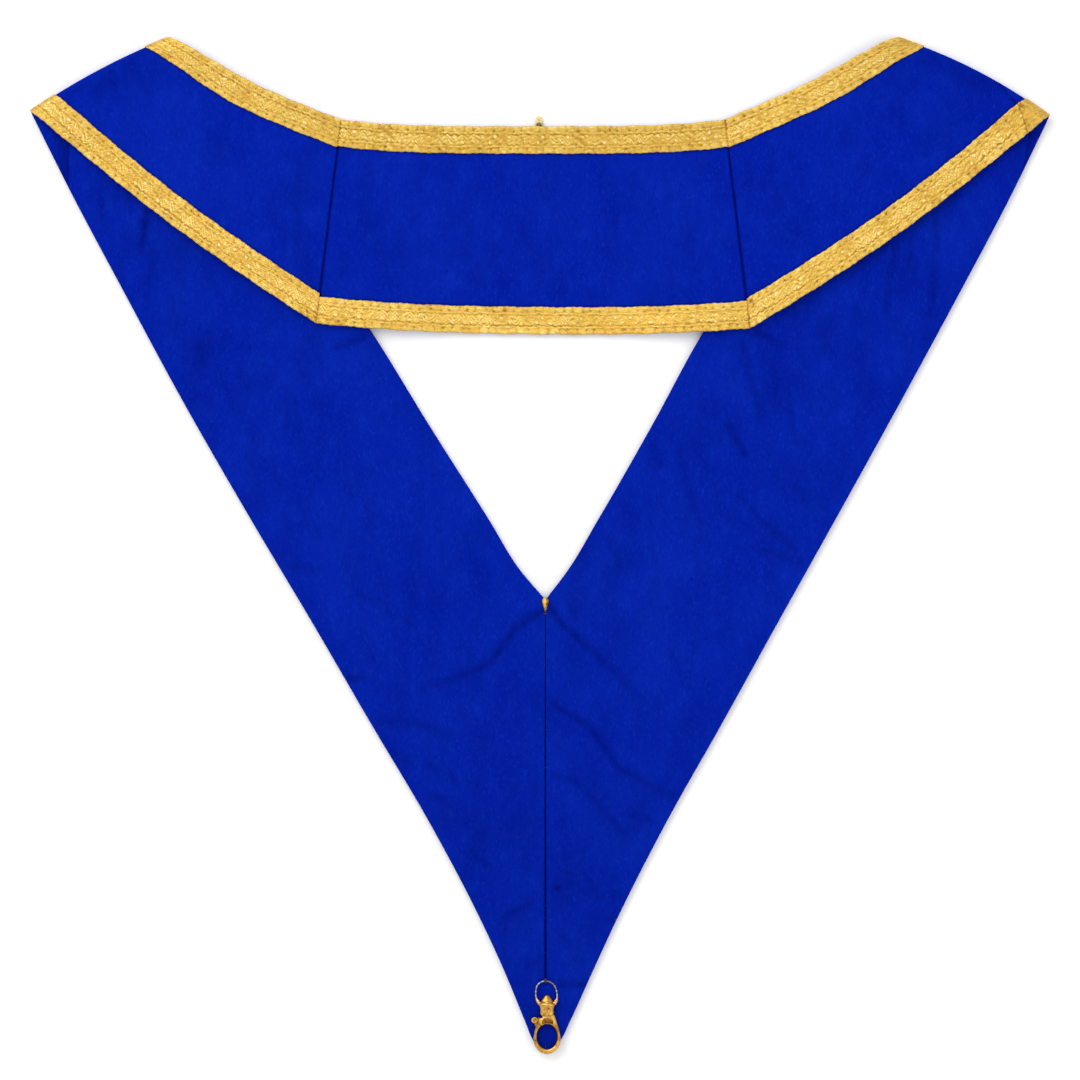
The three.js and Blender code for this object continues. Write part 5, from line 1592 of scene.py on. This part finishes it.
def swivel_bow():
    """The bow's wire through its table's places, thickest at the foot, with the foot's bar and
    the eyelet that holds the rivet."""
    def side_of(sign):
        """One half of the bow's places, from the foot up to the top."""
        rise = [RING_RISE * row["up"] for row in BOW_SHAPE]
        return [(sign * row["across"] * RING_WIDTH / 2 - RING_LEAN * up, FOOT_MID + up,
                 -BOW_SINK * row["up"]) for row, up in zip(BOW_SHAPE, rise)]

    corners = side_of(-1) + side_of(1)[::-1][1:]
    path = smooth_path(corners, BOW_ROWS)
    share = np.abs(np.linspace(-1.0, 1.0, BOW_ROWS))
    thick = RING_WIRE / 2 * (0.86 + 0.95 * ease((share - 0.74) / 0.22))
    wear_and_shade = 0.05 * np.sin(37.0 * share) + 0.04 * np.sin(83.0 * share + 1.0)
    bow, _, _ = tube(path, thick * (1.0 + wear_and_shade), (0, 0, 1), BOW_SIDES)
    bar = np.stack([np.linspace(-FOOT_HALF_SPAN, FOOT_HALF_SPAN, FOOT_ROWS),
                    np.full(FOOT_ROWS, FOOT_MID), np.zeros(FOOT_ROWS)], axis=-1)
    pinch = 1.0 - 0.12 * bump(np.abs(bar[:, 0]) - 2.7, 0.7)
    foot, _, _ = tube(bar, FOOT_HALF_HEIGHT * round_ends(FOOT_ROWS, 0.1) * pinch, (0, 0, 1), 28)
    ring = np.linspace(0.0, 2 * math.pi, 72, endpoint=False)[:, None]
    section = np.linspace(0.0, 2 * math.pi, 20, endpoint=False)[None, :]
    half = (EYELET_OUTER - EYELET_INNER) / 2
    radius = (EYELET_OUTER + EYELET_INNER) / 2 + half * np.cos(section)
    eyelet = np.stack([
        radius * np.cos(ring), FOOT_MID + FOOT_HALF_HEIGHT * np.sin(section) + 0.0 * ring,
        radius * np.sin(ring),
    ], axis=-1)
    turn = np.linspace(0.0, 2 * math.pi, BOW_SIDES, endpoint=False)[None, :]
    # Darker in mottled patches of wear along the wire and, as painted shade and painted reflection of
    # the blue cloth, on the wire's sides seen from above; little on the gilt ends.
    mottle_and_edge_shade = 0.36 + 0.3 * np.sin(43.0 * share)[:, None] + 0.45 * np.cos(turn) ** 4
    ends_gilt = ease((share - 0.68) / 0.16)[:, None]
    mottle_and_edge_shade = mix(mottle_and_edge_shade, 0.1, ends_gilt)
    metal = metal_material("worn_bow_metal_with_painted_shade", **BOW_METAL)
    metal_piece("swivel_bow", "swivel_ring", "collar", [
        {"grid": bow, "shade": mottle_and_edge_shade, "gilt": ends_gilt},
        {"grid": foot, "shade": 0.1, "gilt": 1.0},
        {"grid": eyelet, "shade": 0.12, "gilt": 1.0, "loop": True},
    ], metal)


def bow_stitch():
    """Three turns of thread side by side over the bow's top, each an arch with two legs."""
    reach = RING_WIRE / 2 + 0.3 + 0.25
    top_x = -RING_LEAN * RING_RISE
    top_y = FOOT_MID + RING_RISE
    arch = np.linspace(0.0, math.pi, THREAD_ARCH)
    grids = []
    for step in THREAD_ABREAST:
        y = np.concatenate([[top_y - reach], top_y - reach * np.cos(arch), [top_y + reach]])
        z = np.concatenate([[-BARREL_DEPTH / 2], reach * np.sin(arch) - BOW_SINK,
                            [-BARREL_DEPTH / 2]])
        x = top_x + step + 0.12 * np.cos(np.linspace(0, math.pi, len(y)))
        grid, _, ridge = tube(np.stack([x, y, z], axis=-1), THREAD_RADIUS, (1, 0, 0), 12,
                              THREAD_TWIST, 2, 0.12)
        # Painted highlight on each turn's ridges and painted shade between them.
        grids.append({"grid": grid, "shade": np.clip(0.3 - 0.3 * ridge, 0, 1)})
    points, faces, tones = joined(grids)
    thread = cord_material("blue_thread", THREAD_BLUE, THREAD_DARK, 0.0, 0.55)
    piece = shell("bow_stitch", points, faces, thread, tones)
    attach(piece, "collar")
    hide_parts("ring_stitch")


swivel_bow()
bow_stitch()


# Jewel clasp.
# A cast brass hook, gilt and worn: an oval eye below a waisted barrel with a riveted peaked head.
# The eye's left side is a sprung lever with a thumb knob, hinged between two cheeks on a pin.
# Its colour is painted darker as shade, and as reflection of the cloth, on sides and edges, with
# painted highlight on the crescent's rim.
EYE_HALF_WIDTH = 4.9
EYE_HALF_HEIGHT = 5.95
CLAW_HALF_WIDTH = 6.7
CLAW_WALL = 3.2
CLAW_BELOW = 8.65
NECK_UP = 10.9
CLAW_TURN_Y = -1.09
PIVOT = np.array([-2.3, 7.6])
CHEEK_RADIUS = 1.6
CHEEK_GROWTH = 0.5
CHEEK_LOW_DEGREES = -108.0
CHEEK_SPREAD = 38.0
LEVER_THIN = 2.35
LEVER_REACH = 10.0
SLOT_HALF = 0.85
EAR_HALF = 0.55
EAR_RADIUS = 1.3
JOINT_DEGREES = 191.8
JOINT_GAP_DEGREES = 2.7
JOINT_SKEW = 12.0
JOINT_SKEW_REACH = 40.0
OLD_MARK_DEGREES = 344.0
GATE_TOP_DEGREES = 112.0
BODY_TOP_DEGREES = 463.0
KNOB_PLACE = np.array([-6.0, 8.1])
CRESCENT_PLACE = np.array([0.2, 6.45])
CRESCENT_RADIUS = 2.85
CRESCENT_LOW = 5.9
CRESCENT_DEPTH = 0.6
SECTION_POWER = 2.4
FAR_FROM_PIVOT = 100.0
RING_ROWS = 300
LEVER_ROWS = 160
# The clasp's metal: bright and dull gilt in patches, and the dark brown that its pits and its painted
# shade mix towards.
CLASP_METAL = {
    "bright": (0.70, 0.43, 0.11, 1.0), "dull": (0.46, 0.22, 0.03, 1.0),
    "dark": (0.15, 0.032, 0.002, 1.0), "gilding": (0.72, 0.44, 0.17, 1.0),
    "roughness": 0.2, "patch_scale": 380.0,
}
CLAW_SIDE = [
    {"down": 0.0, "across": 0.54},
    {"down": 0.38, "across": 0.75},
    {"down": 0.73, "across": 0.91},
    {"down": 1.1, "across": 1.0},
]
BARREL_PROFILE = [
    {"out": 0.0, "up": 10.1},
    {"out": 3.2, "up": 10.4},
    {"out": 3.5, "up": 11.6},
    {"out": 3.4, "up": 13.0},
    {"out": 3.7, "up": 14.4},
    {"out": 4.2, "up": 15.7},
    {"out": 3.6, "up": 16.4},
    {"out": 0.0, "up": 16.7},
]
HEAD_PROFILE = [
    {"out": 0.0, "up": 16.3},
    {"out": 2.9, "up": 16.4},
    {"out": 3.05, "up": 17.0},
    {"out": 2.6, "up": 18.0},
    {"out": 1.9, "up": 19.0},
    {"out": 1.0, "up": 20.0},
    {"out": 0.0, "up": 20.5},
]
POST_PROFILE = [
    {"out": 0.0, "up": 14.2},
    {"out": 1.0, "up": 14.3},
    {"out": 1.0, "up": 18.2},
    {"out": 0.0, "up": 18.3},
]
KNOB_PROFILE = [
    {"out": 0.0, "up": -1.6},
    {"out": 1.3, "up": -1.5},
    {"out": 1.65, "up": -0.9},
    {"out": 1.65, "up": 0.9},
    {"out": 1.3, "up": 1.5},
    {"out": 0.9, "up": 1.45},
    {"out": 0.55, "up": 1.05},
    {"out": 0.0, "up": 0.95},
]


def claw_radius(degrees):
    """The claw outline's distance from the eye's middle in a direction: half an ellipse below,
    the side's table above, and a straight top, mirrored to the left."""
    low = np.linspace(-90.0, 0.0, 200)
    ellipse = np.stack([
        CLAW_HALF_WIDTH * np.cos(np.radians(low)),
        CLAW_TURN_Y + (CLAW_BELOW + CLAW_TURN_Y) * np.sin(np.radians(low)),
    ], axis=-1)
    down = np.linspace(1.1, 0.0, 200)
    side = np.stack([
        CLAW_HALF_WIDTH * table_column(CLAW_SIDE, "across", down), NECK_UP * (1.0 - down),
    ], axis=-1)
    top = np.stack([np.linspace(side[-1, 0], 0.0, 60), np.full(60, NECK_UP)], axis=-1)
    outline = np.concatenate([ellipse[:-1], side, top[1:]])
    angle = np.degrees(np.arctan2(outline[:, 1], outline[:, 0]))
    folded = 90.0 - np.abs((degrees - 90.0 + 180.0) % 360.0 - 180.0)
    return np.interp(folded, angle, np.linalg.norm(outline, axis=1))


def crescent(plan):
    """How far plan points lie in the hollow between the eye and an arc above it, and on the rim
    that follows the arc."""
    beside, above = plan[..., 0] - CRESCENT_PLACE[0], plan[..., 1] - CRESCENT_PLACE[1]
    into = CRESCENT_RADIUS - np.hypot(beside, np.maximum(above, 0.0))
    above_eye = np.hypot(plan[..., 0] / EYE_HALF_WIDTH, plan[..., 1] / EYE_HALF_HEIGHT) - 1.0
    hollow = ease(into / 0.45) * ease((above_eye - 0.08) / 0.08)
    hollow = hollow * ease((plan[..., 1] - CRESCENT_LOW) / 0.5)
    rim = bump(into + 0.25, 0.34) * ease((plan[..., 1] - 6.6) / 0.8)
    return hollow, rim


def claw_ring(start, end, count, keep_in, keep_out, sides=40):
    """A bar between the eye and the claw's outline: each ring is a rounded oblong from the eye to
    the outline in one direction, which turns askew near the lever's joint. Points stay between
    two distances from the pivot."""
    degrees = np.linspace(start, end, count)[:, None]
    skew = JOINT_SKEW * (1.0 - ease(np.abs(degrees - JOINT_DEGREES) / JOINT_SKEW_REACH))
    inner_angle = np.radians(degrees + skew)
    direction = np.concatenate([np.cos(inner_angle), np.sin(inner_angle)], axis=1)
    eye = direction / np.hypot(direction[:, :1] / EYE_HALF_WIDTH, direction[:, 1:] / EYE_HALF_HEIGHT)
    outer_angle = np.radians(degrees)
    rim = claw_radius(degrees) * np.concatenate([np.cos(outer_angle), np.sin(outer_angle)], axis=1)
    turn = np.linspace(0.0, 2 * math.pi, sides, endpoint=False)[None, :]
    power = 2.0 / SECTION_POWER
    u = np.sign(np.cos(turn)) * np.abs(np.cos(turn)) ** power
    w = np.sign(np.sin(turn)) * np.abs(np.sin(turn)) ** power
    middle, half = (eye + rim) / 2, (rim - eye) / 2
    plan = middle[:, None] + half[:, None] * u[..., None]
    from_pivot = plan - PIVOT
    distance = np.linalg.norm(from_pivot, axis=-1, keepdims=True)
    plan = PIVOT + from_pivot / distance * np.clip(distance, keep_in, keep_out)
    z = CLAW_WALL / 2 * w * np.ones_like(plan[..., 0])
    recess, rimmed = crescent(plan)
    z = z + (w > 0) * (0.22 * rimmed - CRESCENT_DEPTH * recess)
    # Painted shade and painted reflection of the cloth on the bar's steep sides, painted shade on the
    # claw's flanks, an old dark mark, the crescent's hollow darker towards the eye, and painted
    # highlight on the hollow's rim.
    side_shade = 0.9 * (1.0 - np.abs(w)) ** 1.3 * np.ones_like(z)
    flank = ease((np.abs(plan[..., 0]) - 3.2) / 2.2) * ease((plan[..., 1] + 3.5) / 3.0)
    mark = bump(degrees - OLD_MARK_DEGREES, 1.1)
    inner_dark = (1.0 - 0.12 * (plan[..., 1] - CRESCENT_LOW)) * recess
    shade = (w > 0) * (inner_dark - 0.3 * rimmed) + side_shade + 0.38 * flank + 0.55 * mark
    shade = np.clip(shade, 0.0, 1.0)
    return np.concatenate([plan, z[..., None]], axis=-1), shade


def turned_along_z(profile, place, sides=48):
    """A profile of radii and heights turned about an axis that stands on the clasp's plane."""
    rows = smooth_path([(row["out"], row["up"], 0.0) for row in profile], 10 * len(profile))
    turn = np.linspace(0.0, 2 * math.pi, sides, endpoint=False)[None, :]
    out = np.maximum(rows[:, :1], 0.01)
    return np.stack([
        place[0] + out * np.cos(turn), place[1] + out * np.sin(turn), rows[:, 1:2] + 0.0 * turn,
    ], axis=-1)


def disc_profile(radius, low, high):
    """A flat disc with softened edges, as a profile."""
    soft = 0.12
    return [
        {"out": 0.0, "up": low}, {"out": radius - soft, "up": low},
        {"out": radius, "up": low + soft}, {"out": radius, "up": high - soft},
        {"out": radius - soft, "up": high}, {"out": 0.0, "up": high},
    ]


gilt = metal_material("worn_gilt_with_painted_shade", **CLASP_METAL)


def clasp_hook():
    """The hook's ring from the lever's joint round to the cheeks, the barrel with its dimple, the
    rivet's post and head, and the cheeks, which grow downwards over the lever's end."""
    ring, ring_shade = claw_ring(JOINT_DEGREES + JOINT_GAP_DEGREES, BODY_TOP_DEGREES, RING_ROWS,
                                 0.0, FAR_FROM_PIVOT)
    over_slot = ease((CHEEK_RADIUS + 0.25 - np.linalg.norm(ring[..., :2] - PIVOT, axis=-1)) / 0.2)
    ring_shade = np.clip(ring_shade + 0.5 * over_slot, 0.0, 1.0)
    barrel = turned_along_y(BARREL_PROFILE, BARREL_DEPTH / BARREL_WIDTH)
    x, y, z = barrel[..., 0], barrel[..., 1], barrel[..., 2]
    valley = bump(x - 0.3, 0.8) * bump(y - 13.2, 1.5) * (z > 0)
    dimple = bump(np.hypot(x - 0.9, y - 13.4), 0.55) * (z > 0)
    barrel[..., 2] = z - 0.35 * valley - 0.25 * dimple
    beside = np.abs(x) / np.maximum(np.abs(x).max(axis=1, keepdims=True), 0.01)
    # The valley and the dimple darker, and painted shade on the barrel's right side and along both
    # its edges.
    barrel_shade = np.clip(0.45 * valley + 0.4 * dimple + 0.25 * ease((x - 1.8) / 1.0)
                           + 0.75 * ease((beside - 0.74) / 0.26), 0.0, 1.0)
    head = turned_along_y(HEAD_PROFILE, BARREL_DEPTH / BARREL_WIDTH)
    across = np.abs(head[..., 0])
    beside = across / np.maximum(across.max(axis=1, keepdims=True), 0.01)
    # The head darker overall and towards its peak, with painted shade along its sides and a dark line
    # at its foot.
    head_shade = (0.3 + 0.2 * ease((head[..., 1] - 18.2) / 1.6) + 0.4 * ease((beside - 0.6) / 0.4)
                  + 0.2 * bump(head[..., 1] - 16.7, 0.3))
    post = turned_along_y(POST_PROFILE, 1.0, 32)
    pieces = [
        {"grid": ring, "shade": ring_shade},
        {"grid": barrel, "shade": barrel_shade},
        {"grid": head, "shade": head_shade},
        {"grid": post, "shade": 0.5},
    ]
    for low, high in ((SLOT_HALF, CLAW_WALL / 2), (-CLAW_WALL / 2, -SLOT_HALF)):
        cheek = turned_along_z(disc_profile(CHEEK_RADIUS, low, high), PIVOT)
        beside = cheek[..., :2] - PIVOT
        degrees = np.degrees(np.arctan2(beside[..., 1], beside[..., 0]))
        grown = 1.0 + CHEEK_GROWTH / CHEEK_RADIUS * bump(degrees - CHEEK_LOW_DEGREES, CHEEK_SPREAD)
        cheek[..., :2] = PIVOT + beside * grown[..., None]
        recess, rimmed = crescent(cheek[..., :2])
        upper = cheek[..., 2] > SLOT_HALF + 0.2
        cheek[..., 2] += upper * (0.18 * rimmed - CRESCENT_DEPTH * recess)
        # Painted shade towards the cheek's rim, and the crescent's hollow darker on its top.
        wear_and_shade = 0.2 * ease((np.linalg.norm(cheek[..., :2] - PIVOT, axis=-1) - 1.2) / 0.4)
        pieces.append({"grid": cheek, "shade": np.clip(upper * (0.8 * recess) + wear_and_shade, 0, 1)})
    metal_piece("clasp_hook", "clasp_body", "collar", pieces, gilt)


def clasp_lever():
    """The lever's bar from its joint up to the cheeks and thin between them, its knob on a short
    arm, and the ear round the pin."""
    bar, bar_shade = claw_ring(GATE_TOP_DEGREES, JOINT_DEGREES, LEVER_ROWS, EAR_RADIUS,
                               LEVER_REACH)
    from_pivot = np.linalg.norm(bar[..., :2] - PIVOT, axis=-1)
    thick = ease((from_pivot - LEVER_THIN + 0.1) / 0.2)
    bar[..., 2] *= mix(0.8 * SLOT_HALF / (CLAW_WALL / 2), 1.0, thick)
    knob = turned_along_z(KNOB_PROFILE, KNOB_PLACE)
    to_middle = np.linalg.norm(knob[..., :2] - KNOB_PLACE, axis=-1)
    knob_shade = 0.55 * bump(to_middle, 0.75) * (knob[..., 2] > 0)
    arm_start = KNOB_PLACE + np.array([0.6, -0.3])
    arm_end = PIVOT + np.array([-2.3, -3.3])
    corners = [(*arm_start, 0.0), (*(arm_start * 0.5 + arm_end * 0.5), 0.0), (*arm_end, 0.0)]
    arm, _, _ = tube(smooth_path(corners, 30), 0.95 * round_ends(30, 0.25), (0, 0, 1), 24)
    ear = turned_along_z(disc_profile(EAR_RADIUS, -EAR_HALF, EAR_HALF), PIVOT, 40)
    web_corners = [(*PIVOT, 0.0), (*(PIVOT + np.array([-1.3, -1.0])), 0.0),
                   (*(PIVOT + np.array([-2.3, -1.9])), 0.0)]
    web, _, _ = tube(smooth_path(web_corners, 16), 0.5 * round_ends(16, 0.1), (0, 0, 1), 16)
    metal_piece("clasp_lever", "clasp_gate", "gate", [
        {"grid": bar, "shade": bar_shade},
        {"grid": knob, "shade": knob_shade},
        {"grid": arm, "shade": 0.2},
        {"grid": ear, "shade": 0.5},
        {"grid": web, "shade": 0.5},
    ], gilt)


clasp_hook()
clasp_lever()
